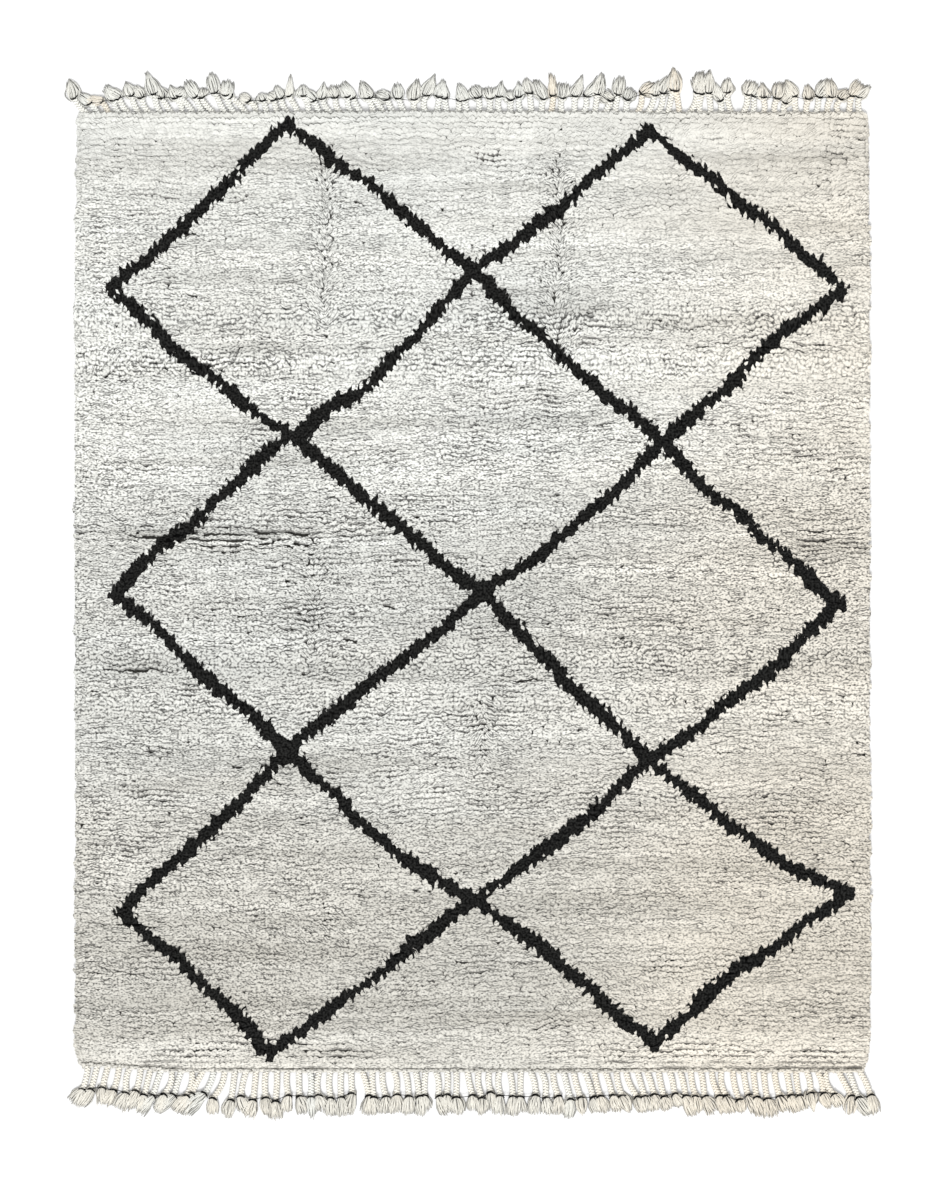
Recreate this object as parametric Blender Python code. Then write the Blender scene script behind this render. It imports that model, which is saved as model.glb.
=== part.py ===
"""Hand-knotted shag rug, 2.5 m by 3.0 m, lying flat, with a plaited and tied warp fringe at both ends.

Run it with: blender --background --python part.py
Metres, +Z up. The floor is z = 0, the width runs along X and the length along Y. The near end is at -Y.
The pile body is one lumpy slab with locks of wool at its rim. Each end has a narrow woven heading that
carries a row of flat plaits, and each plait is tied off and ends in a spread tassel.
"""

import math

import bmesh
import bpy
import numpy
from mathutils import Vector, noise

# Driving dimensions
BODY_WIDTH = 2.500
BODY_LENGTH = 3.030
PILE_TOP = 0.0205  # floor to the middle height of the pile
HEADING_DEPTH = 0.016  # woven band between the pile and the plaits
HEADING_THICKNESS = 0.006
JOINT_GAP = 0.0003
STRANDS = 74  # plaits at each end
FRINGE_SPAN = 2.470  # width of the woven heading

# Grid of the pile body. Wide and narrow cells take turns, so the locks at the rim differ in width.
COLUMNS = 44
ROWS = 60
NARROW_CELL_SHARE = 0.36  # of a wide and a narrow cell together

# Edge of the pile body, from the top of the pile down to the floor
SHOULDER_HEIGHT = 0.0185
SHOULDER_RELIEF_SHARE = 0.3  # how much of the pile's relief reaches the shoulder
BULGE_HEIGHT = 0.0120
SHOULDER_INSET = 0.010
FOOT_INSET = 0.006
CORNER_PULL = 0.012

# How far the outline strays from a rectangle, as hand weaving does
END_BOW = 0.0035
SIDE_BOW = 0.0040
FAR_NARROWING = 0.003
NARROWING_START = 0.9
NARROWING_RUN = 0.6
DRAWN_CORNER = 0.020  # the near end is drawn in at its left corner
DRAWN_CORNER_START = 0.90
DRAWN_CORNER_RUN = 0.35

# Locks at the rim
SIDE_LOCKS = 52  # on each long side
END_LOCKS = 24  # on each short side
LOCK_REACH = 0.012
LOCK_REACH_UNEVEN = 0.0068
LOCK_BEND = 0.6  # how far a tip leans along the edge, as a share of its reach
LOCK_TIP_SHARE = 0.30
SIDE_LOCK_TIP_HEIGHT = 0.0060
END_LOCK_TIP_HEIGHT = 0.0110
LOCK_TIP_THICKNESS = 0.0035

# Relief of the pile
FURROW_PITCH = 0.158
FURROW_DEPTH = 0.0016
FURROW_WANDER = 0.045
WANDERS_PER_METRE = (2.1, 2.6)
LUMP_DEPTH = 0.0056
LUMPS_PER_METRE = (4.2, 9.5)
CRUMB_DEPTH = 0.0056
CRUMBS_PER_METRE = (19.0, 23.0)

# Plaits and tassels
PLAIT_WIDTH = 0.0215
TASSEL_MOST_WIDTH = 0.0340
TASSEL_ROOM_SHARE = 0.84  # share of the room between its neighbours that a tassel fills
PLAITS_TO_A_BUNCH = 3.7

# Cross-sections of a strand from its root outwards. along: share of the plait's or the tassel's length;
# width: share of the plait's or the tassel's width; thick: height above the floor.
SECTIONS = (
    dict(part="plait", along=0.86, width=0.93, thick=0.0085),
    dict(part="plait", along=1.00, width=0.60, thick=0.0090),
    dict(part="tassel", along=0.28, width=0.84, thick=0.0125),
    dict(part="tassel", along=0.72, width=1.00, thick=0.0112),
    dict(part="tassel", along=1.00, width=0.72, thick=0.0050),
)

# How each fringe lies. Leans are degrees from straight out, positive towards +X.
# side: which end; plait, tassel: lengths; uneven: how much lengths vary; lean_left, lean_middle, lean_right:
# lean of the plaits across the rug; swing: how far a tassel turns away from its plait; bunch: how far the
# tips of a bunch of plaits draw together.
FRINGES = {
    "fringe_near": dict(side=-1, plait=0.080, tassel=0.058, uneven=0.12, lean_left=-12,
                        lean_middle=3, lean_right=14, swing=0.002, bunch=0.0030),
    "fringe_far": dict(side=1, plait=0.046, tassel=0.066, uneven=0.22, lean_left=-40,
                       lean_middle=-6, lean_right=4, swing=0.006, bunch=0.0030),
}

WOOL_CREAM = (0.72, 0.71, 0.66, 1.0)
WARP_CREAM = (0.66, 0.65, 0.59, 1.0)


def clear_scene():
    for obj in list(bpy.data.objects):
        bpy.data.objects.remove(obj, do_unlink=True)


def wool(name, colour, roughness):
    material = bpy.data.materials.new(name)
    material.use_nodes = True
    shader = material.node_tree.nodes["Principled BSDF"]
    shader.inputs["Base Color"].default_value = colour
    shader.inputs["Roughness"].default_value = roughness
    shader.inputs["Metallic"].default_value = 0.0
    return material


def smoothstep(value):
    value = min(max(value, 0.0), 1.0)
    return value * value * (3.0 - 2.0 * value)


def wander(place, channel):
    """A repeatable smooth wobble from about -1 to 1."""
    return noise.noise(Vector((place, channel * 7.31, channel * 3.17)))


def grid_line(even, count):
    """Moves an evenly spaced grid line, from -1 to 1, so that wide and narrow cells take turns."""
    step = round((even + 1) / 2 * count)
    moved = step + step % 2 * (1 - 2 * NARROW_CELL_SHARE)
    return 2 * moved / count - 1


def end_curve(x, side):
    """How far the woven end bows out at this x. The near end is drawn in at its left corner."""
    bow = END_BOW * wander(x * 1.7, 2 + side)
    if side < 0:
        bow -= DRAWN_CORNER * smoothstep((-x - DRAWN_CORNER_START) / DRAWN_CORNER_RUN)
    return bow


def body_end(x, side):
    """The y of the pile body's foot at this x, which runs straight from one grid line to the next."""
    lines = [grid_line(2 * k / COLUMNS - 1, COLUMNS) * BODY_WIDTH / 2 for k in range(COLUMNS + 1)]
    bow = numpy.interp(x, lines, [end_curve(line, side) for line in lines])
    return side * (BODY_LENGTH / 2 - HEADING_DEPTH + float(bow))


def side_wave(y, side):
    """How far a long side bows in or out."""
    narrowing = FAR_NARROWING * smoothstep((y - NARROWING_START) / NARROWING_RUN)
    return SIDE_BOW * wander(y * 1.3, 9 + side) - narrowing


def pile_height(x, y):
    """The lumpy top of the pile: shallow furrows along the rows of knots, and soft lumps."""

    def relief(per_metre, channel):
        return noise.noise(Vector((x * per_metre[0], y * per_metre[1], channel)))

    drift = FURROW_WANDER * relief(WANDERS_PER_METRE, 4.0)
    furrow = math.sin(2 * math.pi * (y + drift) / FURROW_PITCH)
    lump = relief(LUMPS_PER_METRE, 1.5)
    crumb = relief(CRUMBS_PER_METRE, 8.0)
    return PILE_TOP + FURROW_DEPTH * furrow + LUMP_DEPTH * lump + CRUMB_DEPTH * crumb


def grid_place(u, v):
    """The place of a grid point, with u and v from -1 to 1, on the shoulder's outline and within it."""
    x = u * BODY_WIDTH / 2
    y = v * (abs(body_end(x, 1 if v > 0 else -1)) - SHOULDER_INSET + FOOT_INSET)
    if abs(u) > 0.999:
        x = u * (BODY_WIDTH / 2 - SHOULDER_INSET + side_wave(y, 1 if u > 0 else -1))
    return x, y


def outward(u, v):
    """Unit vector out of the rim at this rim point of the grid."""
    at_side = abs(u) > 0.999
    at_end = abs(v) > 0.999
    return Vector((math.copysign(1.0, u) * at_side, math.copysign(1.0, v) * at_end, 0.0))


def chosen(count, faces):
    """That many rim faces: every narrow one first, then an even spread of the wide ones."""
    by_width = sorted(faces, key=bmesh.types.BMFace.calc_area)
    narrow = by_width[:len(faces) // 2]
    wide = [face for face in faces if face not in narrow]
    more = count - len(narrow)
    return narrow + [wide[int((k + 0.5) * len(wide) / more)] for k in range(more)]


def raise_lock(bm, face, out):
    """Pulls one rim face out into a drooping lock with a small tip."""
    height = END_LOCK_TIP_HEIGHT if abs(out.y) > 0.5 else SIDE_LOCK_TIP_HEIGHT
    centre = face.calc_center_median()
    along = Vector((-out.y, out.x, 0.0))
    place = centre.dot(along)
    bent = LOCK_BEND * wander(place * 21.0, 5)
    reach = LOCK_REACH + LOCK_REACH_UNEVEN * wander(place * 33.0, 6)
    half = LOCK_TIP_SHARE * max((vert.co - centre).dot(along) for vert in face.verts)
    tip_face = bmesh.ops.extrude_discrete_faces(bm, faces=[face])["faces"][0]
    tip = centre + out * reach + along * bent * reach
    for vert in tip_face.verts:
        sideways = math.copysign(half, (vert.co - centre).dot(along))
        upright = math.copysign(LOCK_TIP_THICKNESS / 2, vert.co.z - centre.z)
        vert.co = tip + along * sideways
        vert.co.z = height + upright


def make_pile_body(collection, material):
    """One closed slab: a lumpy grid, a rounded rim with locks, and a flat back on the floor."""
    bm = bmesh.new()
    bmesh.ops.create_grid(bm, x_segments=COLUMNS, y_segments=ROWS, size=1.0)
    rim = {}
    for vert in bm.verts:
        u, v = grid_line(vert.co.x, COLUMNS), grid_line(vert.co.y, ROWS)
        x, y = grid_place(u, v)
        if vert.is_boundary:
            out = outward(u, v)
            pull = CORNER_PULL if abs(out.x * out.y) > 0 else 0.0
            height = SHOULDER_HEIGHT + SHOULDER_RELIEF_SHARE * (pile_height(x, y) - PILE_TOP)
            vert.co = Vector((x, y, height)) - out * pull
            rim[vert] = out
        else:
            vert.co = (x, y, pile_height(x, y))

    # The long sides bulge past their foot. The ends drop straight down beside the woven heading.
    ring, faces = rim_ring(bm, rim, SHOULDER_INSET, SHOULDER_INSET - FOOT_INSET, BULGE_HEIGHT)
    foot, _ = rim_ring(bm, ring, -FOOT_INSET, 0.0, 0.0)
    foot_edges = {edge for vert in foot for edge in vert.link_edges if edge.is_boundary}
    bmesh.ops.edgeloop_fill(bm, edges=list(foot_edges))
    bmesh.ops.recalc_face_normals(bm, faces=bm.faces)
    add_locks(bm, faces)
    return finish_mesh(bm, "pile_body", collection, material)


def rim_ring(bm, rim, side_step, end_step, height):
    """Extrudes the open edge outwards to a new height. Returns the new ring's points with their
    outward directions, and the new faces."""
    edges = [edge for edge in bm.edges if edge.is_boundary]
    before = {vert.co.copy().freeze(): out for vert, out in rim.items()}
    made = bmesh.ops.extrude_edge_only(bm, edges=edges)["geom"]
    fresh = [item for item in made if isinstance(item, bmesh.types.BMVert)]
    ring = {vert: before[vert.co.copy().freeze()] for vert in fresh}
    for vert, out in ring.items():
        vert.co.x += out.x * side_step
        vert.co.y += out.y * end_step
        vert.co.z = height
    return ring, [item for item in made if isinstance(item, bmesh.types.BMFace)]


def add_locks(bm, faces):
    """Puts locks on an even spread of the upper rim faces of all four sides."""
    sides = {(1, 0): [], (-1, 0): [], (0, 1): [], (0, -1): []}
    for face in faces:
        centre = face.calc_center_median()
        if abs(centre.x) / BODY_WIDTH > abs(centre.y) / BODY_LENGTH:
            sides[(int(math.copysign(1, centre.x)), 0)].append(face)
        else:
            sides[(0, int(math.copysign(1, centre.y)))].append(face)
    for (out_x, out_y), found in sides.items():
        out = Vector((out_x, out_y, 0.0))
        for face in chosen(SIDE_LOCKS if out_x else END_LOCKS, found):
            raise_lock(bm, face, out)


def lean_at(x, fringe):
    """Degrees that the plaits lean at this x, eased between the left, the middle and the right."""
    share = smoothstep(abs(x) / (FRINGE_SPAN / 2))
    far_lean = fringe["lean_left"] if x < 0 else fringe["lean_right"]
    return fringe["lean_middle"] * (1 - share) + far_lean * share


def strand_routes(fringe):
    """For each plait: its root, tie and tip on the floor, worked out from the way the fringe lies."""
    pitch = FRINGE_SPAN / STRANDS
    routes = []
    for k in range(STRANDS):
        x = (k + 0.5) * pitch - FRINGE_SPAN / 2
        plait = fringe["plait"] * (1 + fringe["uneven"] * wander(x * 5.1, 3 + fringe["side"]))
        tassel = fringe["tassel"] * (1 + fringe["uneven"] * wander(x * 19.0, 6 + fringe["side"]))
        slope = math.tan(math.radians(lean_at(x, fringe)))
        drawn = fringe["bunch"] * math.sin(2 * math.pi * (k + 0.5) / PLAITS_TO_A_BUNCH)
        turned = fringe["swing"] * wander(x * 9.0, 12 + fringe["side"])
        tie_x = x + slope * plait + drawn
        tip_x = tie_x + slope * tassel + drawn * 0.4 + turned
        routes.append(dict(x=x, tie_x=tie_x, tip_x=tip_x, plait=plait, tassel=tassel))
    for k, route in enumerate(routes):
        near = routes[max(k - 1, 0):k] + routes[k + 1:k + 2]
        room = min(abs(other["tip_x"] - route["tip_x"]) for other in near)
        room = min(room, *(abs(other["tie_x"] - route["tie_x"]) for other in near))
        route["fan"] = min(TASSEL_MOST_WIDTH, TASSEL_ROOM_SHARE * room)
    return routes


def draw_strand(bm, root_face, route, side):
    """Draws a plait and its tassel out of its root face, section by section, level on the floor."""
    face = root_face
    root_y = root_face.calc_center_median().y
    for section in SECTIONS:
        along = section["along"]
        if section["part"] == "plait":
            distance = along * route["plait"]
            x = route["x"] + along * (route["tie_x"] - route["x"])
            width = section["width"] * PLAIT_WIDTH
        else:
            distance = route["plait"] + along * route["tassel"]
            x = route["tie_x"] + along * (route["tip_x"] - route["tie_x"])
            width = section["width"] * route["fan"]
        centre = face.calc_center_median()
        face = bmesh.ops.extrude_discrete_faces(bm, faces=[face])["faces"][0]
        for vert in face.verts:
            left = vert.co.x < centre.x
            low = vert.co.z < centre.z
            vert.co.x = x + (-width / 2 if left else width / 2)
            vert.co.y = root_y + side * distance
            vert.co.z = 0.0 if low else section["thick"]


def make_fringe(name, fringe, collection, material):
    """A woven heading with its row of plaits, as one closed body."""
    side = fringe["side"]
    routes = strand_routes(fringe)
    bm = bmesh.new()
    cuts = 2 * STRANDS + 1
    bmesh.ops.create_grid(bm, x_segments=cuts, y_segments=1, size=1.0)
    for vert in bm.verts:
        step = round((vert.co.x + 1) / 2 * cuts)
        at_outer = vert.co.y * side > 0
        if step in (0, cuts):
            x = math.copysign(FRINGE_SPAN / 2, vert.co.x)
        else:
            route = routes[(step - 1) // 2]
            x = route["x"] + (PLAIT_WIDTH / 2 if step % 2 == 0 else -PLAIT_WIDTH / 2)
        inner = body_end(x, side) + side * JOINT_GAP
        outer = inner + side * (HEADING_DEPTH - JOINT_GAP)
        vert.co = (x, outer if at_outer else inner, HEADING_THICKNESS)
    made = bmesh.ops.extrude_face_region(bm, geom=list(bm.faces))["geom"]
    for vert in (item for item in made if isinstance(item, bmesh.types.BMVert)):
        vert.co.z = 0.0
    bmesh.ops.recalc_face_normals(bm, faces=bm.faces)

    def is_root(face):
        centre = face.calc_center_median()
        on_outer = face.normal.y * side > 0.9
        return on_outer and any(abs(centre.x - route["x"]) < 0.001 for route in routes)

    roots = sorted((f for f in bm.faces if is_root(f)), key=lambda f: f.calc_center_median().x)
    for root_face, route in zip(roots, routes):
        draw_strand(bm, root_face, route, side)
    return finish_mesh(bm, name, collection, material)


def finish_mesh(bm, name, collection, material):
    mesh = bpy.data.meshes.new(name)
    bm.to_mesh(mesh)
    bm.free()
    mesh.materials.append(material)
    mesh.shade_smooth()
    mesh.set_sharp_from_angle(angle=math.radians(50))
    obj = bpy.data.objects.new(name, mesh)
    collection.objects.link(obj)
    return obj


def centre_on_origin(objects):
    """Moves the whole rug so that the middle of its bounding box stands over the origin."""
    points = [vert.co for obj in objects for vert in obj.data.vertices]
    shift = Vector((0.0, 0.0, 0.0))
    for axis in (0, 1):
        values = [point[axis] for point in points]
        shift[axis] = -(min(values) + max(values)) / 2
    for obj in objects:
        for vert in obj.data.vertices:
            vert.co += shift


def main():
    clear_scene()
    collection = bpy.data.collections.new("shag_rug")
    bpy.context.scene.collection.children.link(collection)
    pile = wool("cream_wool_pile", WOOL_CREAM, 0.95)
    warp = wool("cream_warp_yarn", WARP_CREAM, 0.90)
    objects = [make_pile_body(collection, pile)]
    for name, fringe in FRINGES.items():
        objects.append(make_fringe(name, fringe, collection, warp))
    centre_on_origin(objects)


main()
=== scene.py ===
import math

import bpy
import numpy as np
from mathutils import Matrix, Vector, noise
from mathutils.bvhtree import BVHTree


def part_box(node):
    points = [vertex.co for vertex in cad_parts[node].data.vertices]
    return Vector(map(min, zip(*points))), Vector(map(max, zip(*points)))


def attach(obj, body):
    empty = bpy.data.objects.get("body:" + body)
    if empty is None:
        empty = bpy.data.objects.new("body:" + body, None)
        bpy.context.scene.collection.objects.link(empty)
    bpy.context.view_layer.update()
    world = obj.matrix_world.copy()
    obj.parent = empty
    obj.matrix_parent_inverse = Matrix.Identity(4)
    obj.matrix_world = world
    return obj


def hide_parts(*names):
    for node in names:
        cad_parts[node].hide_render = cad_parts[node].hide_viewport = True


# Shag rug with a black lattice, plaited fringe and black yarn ties. Metres, +Z up, near end at -Y.

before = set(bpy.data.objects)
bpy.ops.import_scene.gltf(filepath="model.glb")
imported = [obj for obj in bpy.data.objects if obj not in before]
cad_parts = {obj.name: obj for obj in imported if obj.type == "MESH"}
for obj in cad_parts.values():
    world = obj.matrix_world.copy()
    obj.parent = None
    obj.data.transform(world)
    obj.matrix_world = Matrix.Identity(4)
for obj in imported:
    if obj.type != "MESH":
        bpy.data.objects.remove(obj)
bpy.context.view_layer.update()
bodyLow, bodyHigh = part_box("pile_body")
print("frame loaded")

rug = {
    "cutSize": (2.50, 3.03),    # the cloth with its woven ends, without the fringe
    "lockOverhang": 0.011,      # how far the rim locks of the solid reach past the knots
    "headingDepth": 0.016,      # woven band between the pile and the plaits
    "fringeSpan": 2.470,        # width of the woven band
    "plaits": 74,               # at each end
    "endBow": 0.0035,           # how far the ends and sides stray from straight lines
    "sideBow": 0.0040,
    "farNarrowing": 0.003,
    "narrowFrom": 0.9,
    "narrowRun": 0.6,
    "drawnCorner": 0.020,       # the near left corner is pulled in
    "drawnFrom": 0.90,
    "drawnRun": 0.35,
}

midX = (bodyLow.x + bodyHigh.x) / 2
midY = (bodyLow.y + bodyHigh.y) / 2
halfWidth = (bodyHigh.x - bodyLow.x) / 2 - rug["lockOverhang"]
halfLength = (bodyHigh.y - bodyLow.y) / 2 - rug["lockOverhang"]
rugMiddle = np.array([midX, midY, 0.0])     # pieces are drawn about the rug's middle and moved there
upward = np.array([0.0, 0.0, 1.0])


def cloud(x, y, sizeX, sizeY, seed):
    # smooth random field, about -1 to 1, with patches of the given size
    cells = 97
    grid = np.random.default_rng(seed).uniform(-1, 1, (cells, cells))
    gx, gy = np.asarray(x) / sizeX + 31.7, np.asarray(y) / sizeY + 43.3
    ix, iy = np.floor(gx).astype(int), np.floor(gy).astype(int)
    fx, fy = gx - ix, gy - iy
    fx, fy = fx * fx * (3 - 2 * fx), fy * fy * (3 - 2 * fy)

    def at(right, up):
        return grid[(ix + right) % cells, (iy + up) % cells]

    low = at(0, 0) * (1 - fx) + at(1, 0) * fx
    high = at(0, 1) * (1 - fx) + at(1, 1) * fx
    return low * (1 - fy) + high * fy


def drifted(value, x, y, *drifts):
    # the value, changed slowly from place to place; a drift is how much, patch width and height, seed
    for amount, wide, high, seed in drifts:
        value = value + amount * cloud(x, y, wide, high, seed)
    return value


def smooth(value):
    value = np.clip(value, 0.0, 1.0)
    return value * value * (3 - 2 * value)


def between(value, low, high, soft):
    # 1 from low to high, and 0 outside, with soft ends
    return smooth((value - low) / soft) * smooth((high - value) / soft)


def readTable(table, at, column=1):
    # a column of a drawn table, between its rows too
    rows = np.array(table)
    return np.interp(at, rows[:, 0], rows[:, column])


def addSpots(total, x, y, spots, power=2):
    # soft spots laid over a field: x, y, half width, half height, amount
    for spotX, spotY, wide, high, amount in spots:
        total = total + amount * np.exp(-((x - spotX) / wide) ** power - ((y - spotY) / high) ** 2)
    return total


def wanderTable(size, channel):
    # the slow wander of an edge, sampled along the rug
    places = np.linspace(-1.7, 1.7, 240)
    values = [noise.noise(Vector((place * size, channel * 7.31, channel * 3.17))) for place in places]
    return places, np.array(values)


edgeTables = {
    "nearEnd": wanderTable(1.7, 1), "farEnd": wanderTable(1.7, 3),
    "leftSide": wanderTable(1.3, 8), "rightSide": wanderTable(1.3, 10),
}


def endBow(x, side):
    # how far the woven end strays outwards from its straight line, x from the rug's middle
    places, values = edgeTables["nearEnd" if side < 0 else "farEnd"]
    bow = rug["endBow"] * np.interp(x, places, values)
    if side < 0:
        bow = bow - rug["drawnCorner"] * smooth((-x - rug["drawnFrom"]) / rug["drawnRun"])
    return bow


def sideBow(y, side):
    # the same for the long sides, a little narrower at the far end
    left, right = (np.interp(y, *edgeTables[name]) for name in ("leftSide", "rightSide"))
    narrower = rug["farNarrowing"] * smooth((y - rug["narrowFrom"]) / rug["narrowRun"])
    return rug["sideBow"] * np.where(side < 0, left, right) - narrower


def newMesh(name, points, faces, material, values=None, bakeMap=None, creased=None):
    # points (n, 3); faces is a list of index arrays, each (count, corners)
    mesh = bpy.data.meshes.new(name)
    loops = np.concatenate([part.ravel() for part in faces]).astype(np.int32)
    totals = np.concatenate([np.full(len(part), part.shape[1]) for part in faces]).astype(np.int32)
    starts = (np.cumsum(totals) - totals).astype(np.int32)
    mesh.vertices.add(len(points))
    mesh.vertices.foreach_set("co", np.asarray(points, np.float32).ravel())
    mesh.loops.add(len(loops))
    mesh.loops.foreach_set("vertex_index", loops)
    mesh.polygons.add(len(totals))
    mesh.polygons.foreach_set("loop_start", starts)
    mesh.polygons.foreach_set("loop_total", totals)
    mesh.polygons.foreach_set("use_smooth", np.ones(len(totals), bool))
    for key, value in (values or {}).items():
        kind, entry = ("FLOAT", "value") if value.ndim == 1 else ("FLOAT_VECTOR", "vector")
        layer = mesh.attributes.new(key, kind, "POINT")
        layer.data.foreach_set(entry, value.astype(np.float32).ravel())
    if bakeMap is not None:
        layer = mesh.uv_layers.new(name="OFBake")
        layer.uv.foreach_set("vector", bakeMap.astype(np.float32).ravel())
    mesh.materials.append(material)
    mesh.update(calc_edges=True)
    if creased is not None:
        # creased(first, second) tells which edges stay sharp
        ends = np.zeros(len(mesh.edges) * 2, np.int32)
        mesh.edges.foreach_get("vertices", ends)
        sharp = mesh.attributes.new("sharp_edge", "BOOLEAN", "EDGE")
        sharp.data.foreach_set("value", creased(ends[0::2], ends[1::2]))
    piece = bpy.data.objects.new(name, mesh)
    bpy.context.scene.collection.objects.link(piece)
    return piece


def place(piece, slot, *nodes):
    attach(piece, "root")
    if nodes:
        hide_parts(*nodes)
    return piece


class Finish:
    # a Principled material with a few short ways to add nodes

    def __init__(self, name, roughness, sheen, specular=0.25):
        self.material = bpy.data.materials.new(name)
        self.material.use_nodes = True
        self.tree = self.material.node_tree
        self.shader = self.tree.nodes["Principled BSDF"]
        self.fill(self.shader, {"Roughness": roughness, "Specular IOR Level": specular})
        self.fill(self.shader, {"Sheen Weight": sheen, "Sheen Roughness": 0.6})

    def fill(self, node, inputs):
        # every input takes a plain value or a link from another node
        for name, given in inputs.items():
            if isinstance(given, bpy.types.NodeSocket):
                self.tree.links.new(given, node.inputs[name])
            else:
                node.inputs[name].default_value = given
        return node

    def node(self, kind, inputs):
        return self.fill(self.tree.nodes.new("ShaderNode" + kind), inputs)

    def layer(self, name, output="Fac"):
        # a value that the mesh carries
        node = self.tree.nodes.new("ShaderNodeAttribute")
        node.attribute_name = name
        return node.outputs[output]

    def place(self, scale):
        # object coordinates, stretched
        return self.stretch(self.tree.nodes.new("ShaderNodeTexCoord").outputs["Object"], scale)

    def stretch(self, source, scale):
        return self.node("Mapping", {"Vector": source, "Scale": scale}).outputs["Vector"]

    def turned(self, source, degrees):
        # turned about the upright
        turn = (0.0, 0.0, math.radians(-degrees))
        return self.node("Mapping", {"Vector": source, "Rotation": turn}).outputs["Vector"]

    def noise(self, vector, scale, detail, output="Fac"):
        node = self.node("TexNoise", {"Vector": vector, "Scale": scale, "Detail": detail})
        return node.outputs[output]

    def fibres(self, yarn, perMetre, perMetreAlong, detail=2.0):
        # long streaks that run along a yarn
        return self.noise(self.stretch(yarn, (perMetre, perMetreAlong, 9.0)), 1.0, detail)

    def warped(self, vector, scale, amount):
        # the same places, pushed about by a noise
        push = self.tree.nodes.new("ShaderNodeVectorMath")
        push.operation = "MULTIPLY_ADD"
        wander = self.noise(vector, scale, 1.0, "Color")
        return self.fill(push, {0: wander, 1: (amount, amount, 0.0), 2: vector}).outputs["Vector"]

    def yPart(self, vector):
        return self.node("SeparateXYZ", {"Vector": vector}).outputs["Y"]

    def ripples(self, vector, perMetre):
        # 0 on lines that run across, 0.5 midway between two
        return self.math("PINGPONG", self.math("MULTIPLY", self.yPart(vector), perMetre), 0.5)

    def math(self, kind, first, second, clamp=False):
        node = self.node("Math", {0: first, 1: second})
        node.operation = kind
        node.use_clamp = clamp
        return node.outputs["Value"]

    def span(self, source, start, end):
        # 0 at start, 1 at end
        return self.node("MapRange", {"Value": source, "From Min": start, "From Max": end}).outputs["Result"]

    def blend(self, share, first, second):
        # a plain number between two others
        return self.node("Mix", {0: share, 2: first, 3: second}).outputs[0]

    def mix(self, kind, share, first, second):
        node = self.tree.nodes.new("ShaderNodeMix")
        node.data_type = "RGBA"
        node.blend_type = kind
        first, second = ((*given, 1.0) if isinstance(given, tuple) else given for given in (first, second))
        return self.fill(node, {0: share, 6: first, 7: second}).outputs[2]

    def ramp(self, source, *stops):
        node = self.node("ValToRGB", {"Fac": source})
        elements = node.color_ramp.elements
        while len(elements) < len(stops):
            elements.new(0.5)
        for element, (at, colour) in zip(elements, stops):
            element.position = at
            element.color = (*colour, 1.0)
        return node.outputs["Color"]

    def shaded(self, base, share, source, start, dark, end, light=(1.0, 1.0, 1.0)):
        # multiplied by dark where the source is at start, by light where it is at end
        return self.mix("MULTIPLY", share, base, self.ramp(source, (start, dark), (end, light)))

    def done(self, colour, height, strength, distance):
        # joins the colour and the relief to the shader
        relief = self.node("Bump", {"Height": height, "Strength": strength, "Distance": distance})
        self.fill(self.shader, {"Base Color": colour, "Normal": relief.outputs["Normal"]})
        return self.material


creamLook = {
    "paintedCleftShade": (0.20, 0.195, 0.185),      # painted shade deep between the locks
    # painted shade on the flanks of the locks
    "paintedFlankShade": (0.56, 0.555, 0.53),
    "tip": (0.925, 0.925, 0.90),
    "cool": (0.975, 0.99, 0.98),        # left and far end
    "warm": (1.0, 0.936, 0.842),        # right and near end
    "toneLow": (0.575, 0.57, 0.555),    # the darkest skein
    "fibresPerMetre": 700,
    "yarnsPerMetre": 230,
    "fibreDark": 0.80,
    "yarnDark": 0.86,
    "specksPerMetre": 195,              # yarn ends
    "speckDark": 0.27,
    "strokesPerMetre": 125,             # fine strokes of painted shade between the yarns
    "paintedStrokeShade": 0.14,
    "strokeTurn": 36,                   # degrees between the three lays of strokes
    "wavesPerMetre": 30,
    "wave": 0.030,                      # how far the strokes are pushed about
    "breaksPerMetre": 55,               # where the strokes fade out
    "breakLift": 0.30,
    "paintedRowShadow": (0.22, 0.215, 0.21),     # painted shadow under the tips of the row before
    "paintedRowShadowTo": 0.48,                  # share of a lock, from its root, that lies under them and gets the painted shadow
    "relief": 0.0014,
}

# the nap's lean as a share of half a turn: to the right at 0, to the far end at 0.5, to the left at 1
leanSpans = {"right": (0.47, 0.36), "left": (0.53, 0.64)}


def grey(value):
    return (value, value, value)


def strokeLines(finish, lay):
    # fine strokes between the yarns that lie along the nap, in three lays that blend where it turns; they
    # carve small grooves and carry painted shade
    look = creamLook
    lays = []
    for side in (-1, 0, 1):
        turned = finish.turned(lay, side * look["strokeTurn"])
        pushed = finish.warped(turned, look["wavesPerMetre"], look["wave"])
        lays.append(finish.ripples(pushed, look["strokesPerMetre"]))
    turn = finish.layer("lockTurn")
    stroke = finish.blend(finish.span(turn, *leanSpans["right"]), lays[1], lays[0])
    stroke = finish.blend(finish.span(turn, *leanSpans["left"]), stroke, lays[2])
    breaks = finish.noise(finish.stretch(lay, (0.45, 1.0, 1.0)), look["breaksPerMetre"], 1.0)
    lift = finish.math("MULTIPLY", finish.span(breaks, 0.42, 0.60), look["breakLift"])
    return finish.math("ADD", stroke, lift)


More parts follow.
